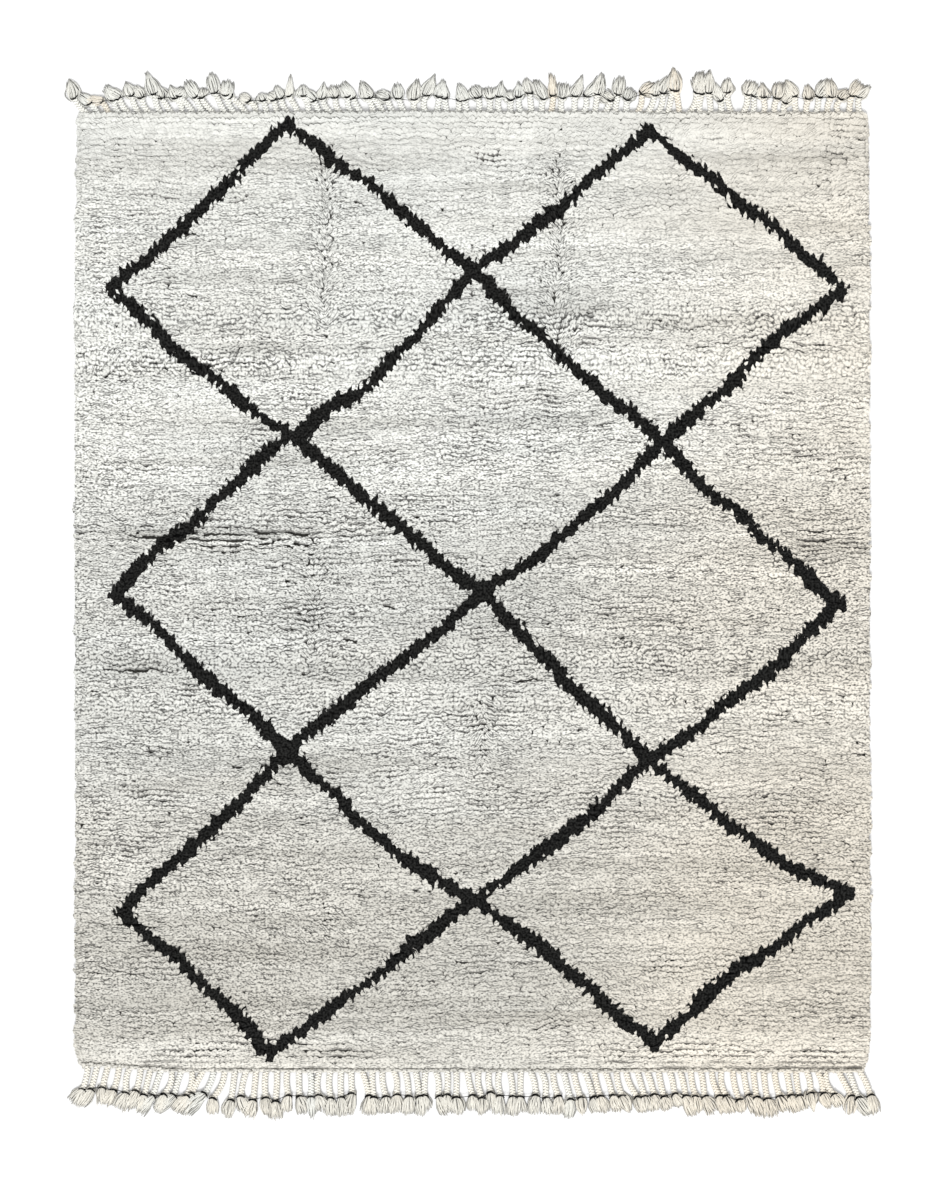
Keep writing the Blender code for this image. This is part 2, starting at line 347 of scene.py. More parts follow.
def creamWool():
    look = creamLook
    finish = Finish("creamWool", 0.92, 0.25)
    rough = finish.layer("lockRough")
    yarn, lay = (finish.layer(name, "Vector") for name in ("yarn", "lay"))
    # tip carries the painted shade of each point: dark at the root and sides, light at the crest and tip
    tip = finish.layer("paintedShade")
    base = finish.ramp(tip, (0.0, look["paintedCleftShade"]), (0.52, look["paintedFlankShade"]), (0.82, look["tip"]))
    base = finish.shaded(base, 1.0, finish.layer("lockTone"), 0.0, look["toneLow"], 1.0)
    base = finish.shaded(base, 1.0, finish.layer("lockWarmth"), 0.0, look["cool"], 1.0, look["warm"])
    fibre = finish.fibres(yarn, look["fibresPerMetre"], 70.0)
    strand = finish.fibres(yarn, look["yarnsPerMetre"], 45.0, 0.0)
    speck = finish.noise(finish.stretch(lay, (0.62, 1.0, 1.0)), look["specksPerMetre"], 0.0)
    stroke = strokeLines(finish, lay)
    base = finish.shaded(base, 0.35, fibre, 0.3, grey(look["fibreDark"]), 0.6)
    base = finish.shaded(base, rough, strand, 0.30, grey(look["yarnDark"]), 0.48)
    base = finish.shaded(base, rough, speck, 0.30, grey(look["speckDark"]), 0.50)
    # painted shade in fine strokes between the yarns
    base = finish.shaded(base, rough, stroke, 0.03, grey(look["paintedStrokeShade"]), 0.22)
    # painted shadow where a lock lies under the tips of the row before
    rowEnd = look["paintedRowShadowTo"] * pile["reach"]
    under = finish.math("MULTIPLY", finish.span(finish.yPart(yarn), rowEnd, 0.75 * rowEnd),
                        finish.layer("rowShadow"), clamp=True)
    base = finish.mix("MULTIPLY", under, base, look["paintedRowShadow"])
    grooves = finish.math("MULTIPLY", finish.span(stroke, 0.0, 0.25), 1.5)
    height = finish.math("ADD", finish.math("ADD", fibre, strand), grooves)
    return finish.done(base, height, 0.7, look["relief"])


blackLook = {
    # painted shade at the roots of the black locks
    "paintedCleftShade": (0.003, 0.003, 0.003),
    "tip": (0.027, 0.027, 0.0255),
    "fibresPerMetre": 700,
    "specksPerMetre": 150,              # sheen on single yarns
    "fibreDark": 0.5,
    "speckDark": 0.10,
    "relief": 0.0012,
}


def blackWool(name="blackWool"):
    look = blackLook
    finish = Finish(name, 0.95, 0.0, 0.10)
    # painted shade from the dark root to the tip
    base = finish.ramp(finish.layer("paintedShade"), (0.0, look["paintedCleftShade"]), (1.0, look["tip"]))
    fibre = finish.fibres(finish.layer("yarn", "Vector"), look["fibresPerMetre"], 70.0)
    speck = finish.noise(finish.layer("lay", "Vector"), look["specksPerMetre"], 0.0)
    base = finish.shaded(base, 0.8, fibre, 0.3, grey(look["fibreDark"]), 0.65)
    base = finish.shaded(base, 1.0, speck, 0.34, grey(look["speckDark"]), 0.66)
    return finish.done(base, fibre, 0.6, look["relief"])


# the black diamonds, as lines between the nodes of a drawn grid
lattice = {
    "nodes": {
        "a1": (-0.585, 1.472), "a2": (0.550, 1.435),
        "b1": (-1.130, 0.945), "b2": (0.010, 1.000), "b3": (1.160, 0.945),
        "c1": (-0.575, 0.480), "c2": (0.600, 0.465),
        "d1": (-1.130, -0.010), "d2": (0.025, -0.016), "d3": (1.155, -0.050),
        "e1": (-0.580, -0.500), "e2": (0.555, -0.525),
        "f1": (-1.115, -1.010), "f2": (0.005, -0.980), "f3": (1.175, -0.970),
        "g1": (-0.640, -1.460), "g2": (0.565, -1.435),
    },
    # how far each line bows towards the far end between its nodes
    "lines": {
        "a1b1": -0.005, "a1b2": -0.005, "a2b2": -0.005, "a2b3": 0.015, "b1c1": -0.020, "b2c1": -0.030,
        "b2c2": -0.010, "b3c2": 0.010, "c1d1": 0.015, "c1d2": 0.005, "c2d2": -0.020, "c2d3": -0.005,
        "d1e1": 0.000, "d2e1": -0.005, "d2e2": 0.000, "d3e2": -0.025, "e1f1": -0.005, "e1f2": -0.030,
        "e2f2": -0.025, "e2f3": -0.025, "f1g1": 0.010, "f2g1": 0.000, "f2g2": 0.020, "f3g2": 0.030,
    },
    "halfWidth": 0.0196,
    "drift": [(0.014, 0.13, 0.13, 5), (0.014, 0.13, 0.13, 6)],      # across and along the rug
    "widthDrift": (-0.0045, 0.07, 0.07, 7),
}


def latticeReach(x, y):
    # distance from the nearest line less its half width: negative inside the black, x and y from the middle
    wx, wy = (drifted(at, x, y, drift) for at, drift in zip((x, y), lattice["drift"]))
    best = np.full(np.shape(x), 9.0)
    for line, bow in lattice["lines"].items():
        ax, ay = lattice["nodes"][line[:2]]
        bx, by = lattice["nodes"][line[2:]]
        dx, dy = bx - ax, by - ay
        along = np.clip(((wx - ax) * dx + (wy - ay) * dy) / (dx * dx + dy * dy), 0, 1)
        bowed = bow * np.sin(math.pi * along) / math.hypot(dx, dy)
        offX = wx - ax - along * dx + bowed * dy * np.sign(dx)
        offY = wy - ay - along * dy - bowed * abs(dx)
        best = np.minimum(best, np.hypot(offX, offY))
    return drifted(best - lattice["halfWidth"], x, y, lattice["widthDrift"])


# the pile: rows of knots, each knot one curved lock
pile = {
    "rowPitch": 0.0155,
    "knotPitch": 0.0094,
    "reach": 0.0235,            # how far a lock leans out from its knot
    "depth": 0.0005,            # how far the locks stand above the solid's lumps
    "width": 0.0195,
    "rootHeight": 0.0022,
    "leanAngle": 92.0,          # degrees, 90 leans towards the far end
    "ruffle": 9.0,              # degrees between one lock and the next
    "swirls": [(15.0, 0.30, 0.20, 21), (9.0, 0.09, 0.06, 22)],      # degrees of slow turning of the nap
    "rowDrifts": [(0.020, 0.30, 0.45, 41), (0.009, 0.060, 0.150, 43), (0.0052, 0.026, 0.080, 45)],
    "rowDriftFade": 0.09,       # the rows run straight at the ends
    "creaseDrift": (0.014, 0.10, 1.0, 23),
    "creaseFade": 0.12,
    "combDrift": (1.0, 0.22, 0.16, 25),
    "roughDrift": (0.10, 0.25, 0.10, 73),
    "roughInAreas": 0.30,
    "roughInCreases": 0.45,
    "roughScale": 1.18,
    "lineDrift": (0.85, 0.075, 0.0155, 71),     # of the painted shadow lines between the rows
    "lineAreas": (0.45, 0.30, 0.09, 72),
    "lineInAreas": 0.7,
    "lineScale": 1.25,
    "gapDrifts": [(1.0, 0.050, 0.0155, 31), (0.30, 0.016, 0.0155, 32)],     # of the partings between the rows
    "gapAreas": (0.26, 0.42, 0.13, 33),
    "partingFade": 0.08,
    "partingDrift": (0.5, 0.045, 1.0, 34),
    "reachDrift": (0.07, 0.030, 0.010, 44),
    "gapShorter": 0.42,         # share of its reach that a lock loses beside an open gap
    "partingShorter": 0.42,
    "combNarrower": 0.22,
    "reachSpread": 0.06,
    "widthSpread": 0.07,
    "bendSpread": 0.25,
    "heightSpread": 0.0004,
    "nearOverlap": 0.0145,      # how far the pile hangs over the woven bands
    "farOverlap": 0.0125,
    "rimPitch": 0.0085,
    "rimTiers": [(0.0165, 0.0125, 0.42), (0.0095, 0.0145, 0.22)],     # height, reach, tip rise
    "rimWidth": 0.0125,
    "lowest": 0.0135,           # no lock stands lower than this
    "slitTrials": 2000,
    "shortest": 0.0172,         # the reach that a slit leaves a lock at least
    "edgeBlur": 0.008,          # how far from a line's edge the locks are ruffled by its other colour
    "edgeStray": 0.0022,
    "edgeTurn": 13,
    "edgeReach": 0.36,
    "edgeNarrower": 0.42,
    "bands": 4,                 # cream pieces, from the near end to the far end
    "seed": 11,
}

# creases where the nap parts to both sides, with slits that branch up and out
creaseParts = ("x", "low", "high", "spread", "turn", "slits", "length", "climb")
creases = [dict(zip(creaseParts, crease)) for crease in (
    (-0.466, 0.80, 1.44, 0.042, 25, 30, 0.050, 0.048),
    (0.268, 0.66, 1.44, 0.042, 25, 32, 0.048, 0.048),
    (-0.500, -0.28, 0.20, 0.040, 20, 18, 0.044, 0.034),
    (0.035, -0.62, -0.30, 0.050, 18, 10, 0.040, -0.034),
)]

# where the nap is ruffled (above 0) or brushed smooth (below 0): x, y, half width, half height, amount
ruffledAreas = [
    (-0.72, 0.17, 0.62, 0.045, 0.40), (-0.88, 0.72, 0.40, 0.050, 0.50), (0.70, 0.83, 0.62, 0.040, 0.35),
    (-0.50, 0.02, 0.11, 0.36, 0.45), (0.10, 0.60, 0.24, 0.30, 0.35), (-1.12, -0.25, 0.14, 0.06, 0.60),
    (1.14, 0.12, 0.12, 0.07, 0.50), (0.64, -0.20, 0.16, 0.06, 0.45), (-0.40, 1.10, 0.20, 0.30, 0.25),
    (0.02, -0.42, 0.24, 0.16, 0.25), (-0.90, -0.85, 0.35, 0.30, 0.18), (0.75, -0.30, 0.45, 0.25, 0.15),
    (0.0, 1.47, 1.30, 0.075, -0.75), (0.68, 1.18, 0.34, 0.20, -0.40), (-1.00, 0.47, 0.26, 0.12, -0.35),
    (-0.18, 1.20, 0.18, 0.20, -0.30), (0.75, -1.12, 0.32, 0.25, -0.20), (-0.55, 0.62, 0.25, 0.08, 0.20),
]

# long open partings between two rows: from x, to x, y, how open
partings = [
    (-1.25, -0.45, 0.184, 0.9), (-1.12, -0.60, 0.166, 1.1), (-0.94, -0.44, 0.150, 0.9),
    (-0.90, -0.62, 0.134, 0.8), (-1.10, -0.96, 0.205, 0.6), (0.62, 1.25, 0.775, 0.7),
    (0.86, 1.22, 0.759, 0.6), (0.95, 1.24, 0.19, 0.8), (1.02, 1.24, 0.165, 0.6),
    (-1.22, -0.95, -0.25, 0.9), (-1.18, -1.00, -0.235, 0.6), (0.30, 0.86, 0.83, 0.5),
    (-1.22, -0.95, -1.05, 0.8), (-1.24, -1.02, -1.20, 0.6), (0.70, 1.10, -0.22, 0.4),
    (-0.98, -0.62, 0.72, 0.7), (-0.36, 0.06, 0.40, 0.3), (-0.72, -0.60, 1.20, 0.5),
]

# where the nap has been stroked another way, to the left above 0: x, y, half width, half height, degrees
strokedAreas = [
    (-1.12, 1.42, 0.30, 0.13, -32), (-0.85, 1.28, 0.25, 0.10, -12), (0.00, 1.43, 0.30, 0.11, 24),
    (0.50, 1.43, 0.22, 0.10, 16), (1.05, 1.42, 0.30, 0.14, 38), (0.25, 1.22, 0.12, 0.12, 22),
    (1.05, 1.23, 0.28, 0.11, 18), (-0.30, 1.05, 0.30, 0.14, -13), (0.55, 0.68, 0.25, 0.08, -14),
    (-0.90, 0.45, 0.35, 0.12, 9), (-1.10, 0.26, 0.25, 0.15, 10), (-0.18, 0.20, 0.20, 0.20, -10),
    (0.85, 0.28, 0.20, 0.10, -14), (-0.45, 0.06, 0.22, 0.10, -16), (-0.50, -0.30, 0.20, 0.10, 9),
    (-1.08, -0.55, 0.22, 0.28, 15), (0.80, -0.80, 0.50, 0.45, -12), (-0.22, -0.72, 0.12, 0.12, 12),
    (-0.48, -1.08, 0.16, 0.10, -38), (-0.84, -1.26, 0.34, 0.17, -29), (-0.23, -1.20, 0.10, 0.20, 15),
    (0.35, -1.28, 0.24, 0.14, -20), (1.18, -1.00, 0.12, 0.30, -10), (-0.90, -1.00, 0.12, 0.08, -16),
]

# how far the corners are drawn in: left or right, near or far, inset, from the end
corners = [(-1, -1, 0.019, 0.060), (1, -1, 0.013, 0.080), (-1, 1, 0.007, 0.020), (1, 1, 0.014, 0.026)]


def cornerPull(y, side):
    # how far a long side is drawn in near its corners
    pull = 0 * y
    for cornerSide, cornerEnd, inset, run in corners:
        share = np.clip((y * cornerEnd - halfLength + run) / run, 0, 1.2)
        pull = pull + inset * (side == cornerSide) * share ** 2
    return pull


def areaAmount(x, y):
    # how ruffled the nap is at a place, from -1 to 1
    return addSpots(0 * x, x, y, ruffledAreas, 4)


def creaseWander(y):
    return drifted(0, y, 0 * y, pile["creaseDrift"])


def alongCreases(x, y):
    # each crease, the distance across from it, and 1 along its length
    away = x - creaseWander(y)
    return [(crease, away - crease["x"], between(y, crease["low"], crease["high"], pile["creaseFade"]))
            for crease in creases]


def creaseAmount(x, y):
    # 1 on a crease, 0 away from it
    total = 0 * x
    for crease, away, window in alongCreases(x, y):
        total = np.maximum(total, window * np.exp(-(away / crease["spread"]) ** 2))
    return total


def napAngle(x, y):
    # the direction a lock leans, in degrees
    angle = drifted(pile["leanAngle"], x, y, *pile["swirls"])
    for crease, away, window in alongCreases(x, y):
        lean = np.tanh(away / 0.010) * np.exp(-(away / crease["spread"]) ** 2)
        angle = angle - crease["turn"] * window * lean
    return addSpots(angle, x, y, strokedAreas)


def combed(x, y):
    # where the locks lie apart from each other, as in a crease
    apart = 0.35 * smooth(drifted(-0.30, x, y, pile["combDrift"]) / 0.4)
    return np.maximum(apart, creaseAmount(x, y))


# how rough the nap looks along the rug, from the near end to the far end
roughness = [
    (-1.50, 0.56), (-1.20, 0.75), (-0.75, 0.71), (-0.35, 0.72), (0.00, 1.00), (0.30, 0.80),
    (0.60, 0.68), (0.90, 0.68), (1.10, 0.60), (1.30, 0.46), (1.50, 0.32),
]


def roughAmount(x, y):
    amount = readTable(roughness, y) * (1 - 0.08 * x) + pile["roughInAreas"] * areaAmount(x, y)
    amount = drifted(amount, x, y, pile["roughDrift"]) + pile["roughInCreases"] * creaseAmount(x, y)
    return np.clip(pile["roughScale"] * amount, 0.2, 1.25)


def layPlace(x, y):
    # where a point lies in the lay of the wool: its strokes climb outwards from the creases
    climb = 0 * x
    for crease, away, window in alongCreases(x, y):
        climb = climb + window * crease["climb"] * (1 - np.exp(-np.abs(away) / 0.024))
    return np.stack([x, y - climb, 0 * x], -1)


def rowShadowAmount(x, y, rows):
    # how strong the painted shadow is under the row before each knot
    amount = drifted(0.05, x, rows * pile["rowPitch"] - halfLength, pile["lineDrift"])
    amount = drifted(amount, x, y, pile["lineAreas"])
    return np.clip(pile["lineScale"] * (amount + pile["lineInAreas"] * areaAmount(x, y)), 0, 1)


def openness(x, y, rows):
    # how open the parting beyond each knot is, and how much of that is one of the long partings
    fine = drifted(0, x, rows * pile["rowPitch"] - halfLength, *pile["gapDrifts"])
    region = drifted(0, x, y, pile["gapAreas"]) + areaAmount(x, y)
    gaps = smooth((0.62 * fine + region + 0.40) / 1.3) * 0.72
    parted = 0 * x
    for fromX, toX, partY, amount in partings:
        drawn = drifted(partY, x, 0 * x, (0.007, 0.11, 1.0, int(1000 * abs(partY))))
        near = np.abs(y + 1.2 * pile["rowPitch"] - drawn) < pile["rowPitch"] / 2
        window = between(x, fromX, toX, pile["partingFade"])
        strength = amount * near * window * drifted(0.75, x, 0 * x, pile["partingDrift"])
        parted = np.maximum(parted, np.clip(strength, 0, 1))
    return np.maximum(gaps, parted), parted


def layKnots():
    # every knot's root and row number
    rng = np.random.default_rng(pile["seed"])
    rowCount = int(2 * halfLength / pile["rowPitch"])
    columnCount = int(2 * halfWidth / pile["knotPitch"])
    rows, columns = np.meshgrid(np.arange(rowCount), np.arange(columnCount), indexing="ij")
    rows, columns = rows.ravel(), columns.ravel()
    shift = rng.uniform(0, 1, rowCount)[rows]
    x = ((columns + shift) / columnCount * 2 - 1) * halfWidth + rng.normal(0, 0.0014, len(rows))
    y = (rows + 0.5) / rowCount * 2 * halfLength - halfLength
    drift = drifted(0, x, y, *pile["rowDrifts"]) * smooth((halfLength - np.abs(y)) / pile["rowDriftFade"])
    y = y + drift + rng.normal(0, 0.0007, len(y))
    low = -halfLength - endBow(x, -1) - pile["nearOverlap"]
    high = halfLength + endBow(x, 1) + pile["farOverlap"] - pile["reach"] * 0.8
    y = low + (y + halfLength) / (2 * halfLength) * (high - low)
    side = np.sign(x)
    x = x * (halfWidth + sideBow(y, side) - cornerPull(y, side)) / halfWidth
    return x, y, rows.astype(float), rng


def rimLocks(rng):
    # locks that hang outwards over the edges: x, y, angle, reach, height, tip rise
    sets = []

    def hang(x, y, angle, reach, reachSpread, height, tipRise):
        count = len(angle)
        sets.append(np.stack([x, y, angle, reach * rng.normal(1, reachSpread, count),
                              height * rng.normal(1, 0.08, count), np.full(count, tipRise)]))

    for height, reach, tipRise in pile["rimTiers"]:
        y = np.arange(-halfLength, halfLength, pile["rimPitch"])
        for side in (-1.0, 1.0):
            edge = halfWidth + sideBow(y, side) - cornerPull(y, side)
            angle = (0 if side > 0 else 180) + side * rng.normal(22, 16, len(y))
            strayY = y + rng.normal(0, 0.002, len(y))
            hang(side * (edge - reach * 0.72), strayY, angle, reach, 0.14, height, tipRise)
        x = np.arange(-halfWidth + 0.016, halfWidth - 0.012, pile["rimPitch"])
        for end in (-1, 1):
            overlap = pile["nearOverlap"] if end < 0 else pile["farOverlap"]
            edge = halfLength + endBow(x, end) + overlap
            angle = 90 * end + rng.normal(0, 16, len(x))
            strayX = x + rng.normal(0, 0.002, len(x))
            strayY = end * (edge - reach * 0.80 + rng.normal(0, 0.0018, len(x)))
            hang(strayX, strayY, angle, reach, 0.12, height, max(tipRise, 0.36))
    return np.concatenate(sets, axis=1)


def solidTop(x, y):
    # how high the rug's solid stands under each place
    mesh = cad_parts["pile_body"].data
    points = [tuple(vertex.co) for vertex in mesh.vertices]
    tree = BVHTree.FromPolygons(points, [tuple(face.vertices) for face in mesh.polygons])
    down = Vector((0.0, 0.0, -1.0))
    tops = np.zeros(len(x))
    for k, (px, py) in enumerate(zip((x + midX).tolist(), (y + midY).tolist())):
        hit = tree.ray_cast(Vector((px, py, 1.0)), down)[0]
        tops[k] = hit.z if hit is not None else 0.0
    return tops


def creaseSlits(rng):
    # short slits that branch up and out from each crease: start x, start y, end x, end y, half gap
    slits = []
    for crease in creases:
        for k in range(crease["slits"]):
            y = crease["low"] + (crease["high"] - crease["low"]) * (k + rng.uniform(0, 1)) / crease["slits"]
            side = 1 if k % 2 else -1
            away = side * abs(rng.normal(0, 0.022))
            angle = math.radians(90 - side * rng.uniform(14, 48))
            step = crease["length"] * rng.uniform(0.45, 1.25) / 3
            x = crease["x"] + float(creaseWander(y)) + away
            bend = side * rng.uniform(-0.25, 0.35)
            for _ in range(3):
                endX, endY = x + step * math.cos(angle), y + step * math.sin(angle)
                slits.append((x, y, endX, endY, rng.uniform(0.0004, 0.0020)))
                x, y, angle = endX, endY, angle - bend * 0.3
    return slits


def ruffleSlits(rng):
    # short wavy slits in the ruffled areas, mostly along the rows
    slits = []
    for _ in range(pile["slitTrials"]):
        x, y = rng.uniform(-halfWidth, halfWidth), rng.uniform(-halfLength, halfLength)
        if rng.uniform() > 0.02 + 0.32 * float(areaAmount(x, y)):
            continue
        turn = math.radians(float(napAngle(x, y)) - 90)
        angle = turn * 1.2 + rng.normal(0, 0.35)
        if rng.uniform() < 0.12:
            angle += math.copysign(rng.uniform(0.6, 1.2), rng.normal())
        step = rng.uniform(0.012, 0.050) / 3
        gap = rng.uniform(0.0002, 0.0012)
        for _ in range(3):
            endX, endY = x + step * math.cos(angle), y + step * math.sin(angle)
            slits.append((x, y, endX, endY, gap))
            x, y, angle = endX, endY, angle + rng.normal(0, 0.3)
    return slits


def openSlits(x, y, angle, reach, slits):
    # locks stand clear of each slit: turned along it and pushed aside, cut short or moved past it
    turn = np.radians(angle)
    dirX, dirY = np.cos(turn), np.sin(turn)
    for fromX, fromY, toX, toY, gap in slits:
        middleX, middleY = (fromX + toX) / 2, (fromY + toY) / 2
        near = np.flatnonzero((np.abs(x - middleX) < 0.05) & (np.abs(y - middleY) < 0.05))
        slitX, slitY = toX - fromX, toY - fromY
        length = math.hypot(slitX, slitY)
        slitX, slitY = slitX / length, slitY / length
        cross = dirX[near] * slitY - dirY[near] * slitX
        steep = np.abs(cross) > 0.55
        cross = np.where(np.abs(cross) < 1e-3, 1e-3, cross)
        relX, relY = fromX - x[near], fromY - y[near]
        along = (relX * slitY - relY * slitX) / cross
        spot = (relX * dirY[near] - relY * dirX[near]) / cross
        hit = steep & (along > 0) & (along < reach[near]) & (spot > -0.003) & (spot < length + 0.003)
        early = hit & (along < 0.42 * reach[near])
        late = hit & ~early
        reach[near[late]] = np.maximum(along[late] - gap, pile["shortest"])
        move = along[early] + gap
        x[near[early]] += dirX[near[early]] * move
        y[near[early]] += dirY[near[early]] * move
        bodyX = x[near] + 0.5 * reach[near] * dirX[near]
        bodyY = y[near] + 0.5 * reach[near] * dirY[near]
        side = (bodyX - middleX) * slitY - (bodyY - middleY) * slitX
        beside = (bodyX - middleX) * slitX + (bodyY - middleY) * slitY
        push = ~steep & (np.abs(beside) < length / 2 + 0.004) & (np.abs(side) < gap + 0.0042)
        shove = np.sign(side[push]) * (gap + 0.0046) - side[push]
        x[near[push]] += slitY * shove
        y[near[push]] -= slitX * shove
        sense = np.sign(dirX[near[push]] * slitX + dirY[near[push]] * slitY)
        dirX[near[push]] = 0.3 * dirX[near[push]] + 0.7 * slitX * sense
        dirY[near[push]] = 0.3 * dirY[near[push]] + 0.7 * slitY * sense
        size = np.hypot(dirX[near], dirY[near])
        dirX[near], dirY[near] = dirX[near] / size, dirY[near] / size
    return x, y, np.degrees(np.arctan2(dirY, dirX)), reach


# where a lock's shoulder and crest stand: shares of its reach, its height and its width
lockForm = {
    "shoulderShare": 0.17, "shoulderRise": 0.82, "shoulderSide": 0.46, "shoulderBack": 0.15,
    "crestShare": 0.68, "crestRise": 0.96, "crestSide": 0.50,
    "drop": 0.06,               # how much lower its sides are
    "tipRise": 0.99, "openTip": 0.10,
}


def lockPoints(x, y, angle, reach, height, width, bend, tipRise, roll):
    # eight points for each lock: root, three at its shoulder, three at its crest, tip
    form = lockForm
    turn = np.radians(angle)
    forward = np.stack([np.cos(turn), np.sin(turn), 0 * turn], 1)
    left = np.stack([-np.sin(turn), np.cos(turn), 0 * turn], 1)
    root = np.stack([x, y, np.full(len(x), pile["rootHeight"])], 1)
    body = height - pile["rootHeight"]

    def at(share, rise, side):
        point = root + forward * (share * reach)[:, None]
        point = point + left * (side * width + bend * share ** 2 * width)[:, None]
        return point + upward * (rise * body + np.sign(side) * roll)[:, None]

    points = [root]
    crest = form["crestRise"] - 0.25 * np.clip(0.8 - tipRise, 0, 1)
    for middleShare, sideShare, rise, side in (
            (form["shoulderShare"], form["shoulderBack"], form["shoulderRise"], form["shoulderSide"]),
            (form["crestShare"], form["crestShare"], crest, form["crestSide"])):
        points.append(at(sideShare, rise - form["drop"], side))
        points.append(at(middleShare, rise, 0.0))
        points.append(at(sideShare, rise - form["drop"], -side))
    points.append(at(1.0, tipRise, 0.0))
    return np.stack(points, 1)


# a lock's faces by its eight points, and each point's place along it, across it and its painted shade
lockTris = np.array([(0, 2, 1), (0, 3, 2), (0, 1, 3), (4, 5, 7), (5, 6, 7), (6, 4, 7)])
lockQuads = np.array([(1, 2, 5, 4), (2, 3, 6, 5), (3, 1, 4, 6)])
lockAlong = np.array([0.0, 0.25, 0.25, 0.25, 0.62, 0.62, 0.62, 1.0])
lockAcross = np.array([0.5, 0.0, 0.5, 1.0, 0.0, 0.5, 1.0, 0.5])
# painted shade: dark at the root, darker on the sides, lightest at the crest
lockPaintedShade = np.array([0.0, 0.68, 0.84, 0.68, 0.80, 1.0, 0.80, 0.84])
lockRails = ((0, 1), (0, 3), (1, 4), (3, 6), (4, 7), (6, 7))     # the rims of a lock, seen as a leaf


def onRail(first, second):
    # which edges lie on the rims
    low, high = np.minimum(first, second) % 8, np.maximum(first, second) % 8
    found = np.zeros(len(first), bool)
    for a, b in lockRails:
        found |= (low == a) & (high == b)
    return found


def lockBakeMap(count):
    # every lock has a cell of its own on the map, unrolled side by side
    across = int(math.ceil(math.sqrt(count)))
    cell = np.arange(count)
    cellX, cellY = (cell % across) / across, (cell // across) / across
    sides = ({1: 0, 2: 1}, {2: 0, 3: 1}, {3: 0, 1: 1}, {4: 0, 5: 1}, {5: 0, 6: 1}, {6: 0, 4: 1})
    tris = np.array([[(k % 3 + sides[k].get(v, 0.5), lockAlong[v]) for v in tri]
                     for k, tri in enumerate(lockTris)])
    quads = np.array([[(k, 0.25), (k + 1, 0.25), (k + 1, 0.62), (k, 0.62)] for k in range(3)])

    def spread(local):
        margin = 0.06
        u = cellX[:, None, None] + (margin + (1 - 2 * margin) * local[None, :, :, 0] / 3) / across
        v = cellY[:, None, None] + (margin + (1 - 2 * margin) * local[None, :, :, 1]) / across
        return np.stack([u, v], -1).reshape(-1, 2)

    return np.concatenate([spread(tris), spread(quads)])


def lockPiece(name, points, values, shade, material):
    count = len(points)
    offsets = np.arange(count) * 8
    tris = (offsets[:, None, None] + lockTris[None]).reshape(-1, 3)
    quads = (offsets[:, None, None] + lockQuads[None]).reshape(-1, 4)
    yarn = np.zeros((count, 8, 3))
    yarn[:, :, 0] = lockAcross * pile["width"]
    yarn[:, :, 1] = lockAlong * pile["reach"]
    yarn[:, :, 2] = np.arange(count)[:, None] * 0.37
    flat = points.reshape(-1, 3) + rugMiddle
    layers = {key: np.repeat(value, 8) for key, value in values.items()}
    # the painted shade of every point
    layers["paintedShade"] = shade.ravel()
    layers["yarn"] = yarn.reshape(-1, 3)
    layers["lay"] = layPlace(points[:, :, 0].ravel(), points[:, :, 1].ravel())
    return newMesh(name, flat, [tris, quads], material, layers, lockBakeMap(count), onRail)


# how light the wool is along the rug, from the near end to the far end
lightness = [
    (-1.50, 0.56), (-1.46, 0.48), (-1.40, 0.30), (-1.20, 0.32), (-1.00, 0.36), (-0.65, 0.47),
    (-0.40, 0.60), (-0.20, 0.52), (0.05, 0.55), (0.25, 0.68), (0.50, 0.80), (0.80, 0.72),
    (1.10, 0.70), (1.30, 0.58), (1.50, 0.50),
]

# skeins that stand out: from x, to x, y, width of the band, how much lighter or darker
skeins = [
    (0.30, 0.90, 0.16, 0.030, 0.22), (-0.15, 0.25, 0.18, 0.035, 0.20), (-1.20, -0.70, -1.46, 0.055, 0.20),
    (0.70, 1.15, -0.63, 0.035, 0.20), (-1.05, -0.35, -1.00, 0.030, 0.20), (-1.20, -0.80, 0.36, 0.045, 0.20),
    (-0.40, -0.10, -0.37, 0.080, 0.20), (-0.40, -0.10, 0.37, 0.050, 0.18), (0.40, 1.10, 0.93, 0.060, 0.20),
    (0.20, 1.05, 0.05, 0.035, 0.20), (-1.20, -1.00, -0.88, 0.050, 0.18), (-1.05, -0.05, 1.01, 0.030, 0.18),
    (-0.30, 0.30, 0.47, 0.035, 0.18), (0.55, 1.20, -1.47, 0.035, 0.16), (-0.30, 0.55, 1.10, 0.035, 0.16),
    (1.00, 1.25, 0.86, 0.045, -0.28), (0.45, 1.00, 0.84, 0.040, -0.28), (0.15, 0.50, 0.87, 0.040, -0.26),
    (-0.05, 0.30, 1.26, 0.022, -0.24), (-0.50, 0.45, 0.52, 0.040, -0.25), (1.10, 1.25, 1.01, 0.050, -0.22),
    (-0.85, -0.55, 0.75, 0.045, -0.22), (0.95, 1.25, 0.12, 0.055, -0.26), (-0.65, -0.50, 0.41, 0.035, -0.20),
    (-1.20, -0.90, -0.25, 0.040, -0.22), (0.70, 1.25, 1.34, 0.030, -0.22), (0.85, 1.25, 0.22, 0.035, -0.22),
    (-0.90, -0.25, -0.84, 0.040, -0.22), (-1.05, -0.35, 0.96, 0.050, -0.20), (0.35, 0.75, 1.23, 0.030, -0.20),
    (-1.20, -0.45, 0.175, 0.030, -0.26), (0.60, 1.25, 0.48, 0.040, -0.20), (-0.30, 0.30, -0.13, 0.060, -0.18),
]

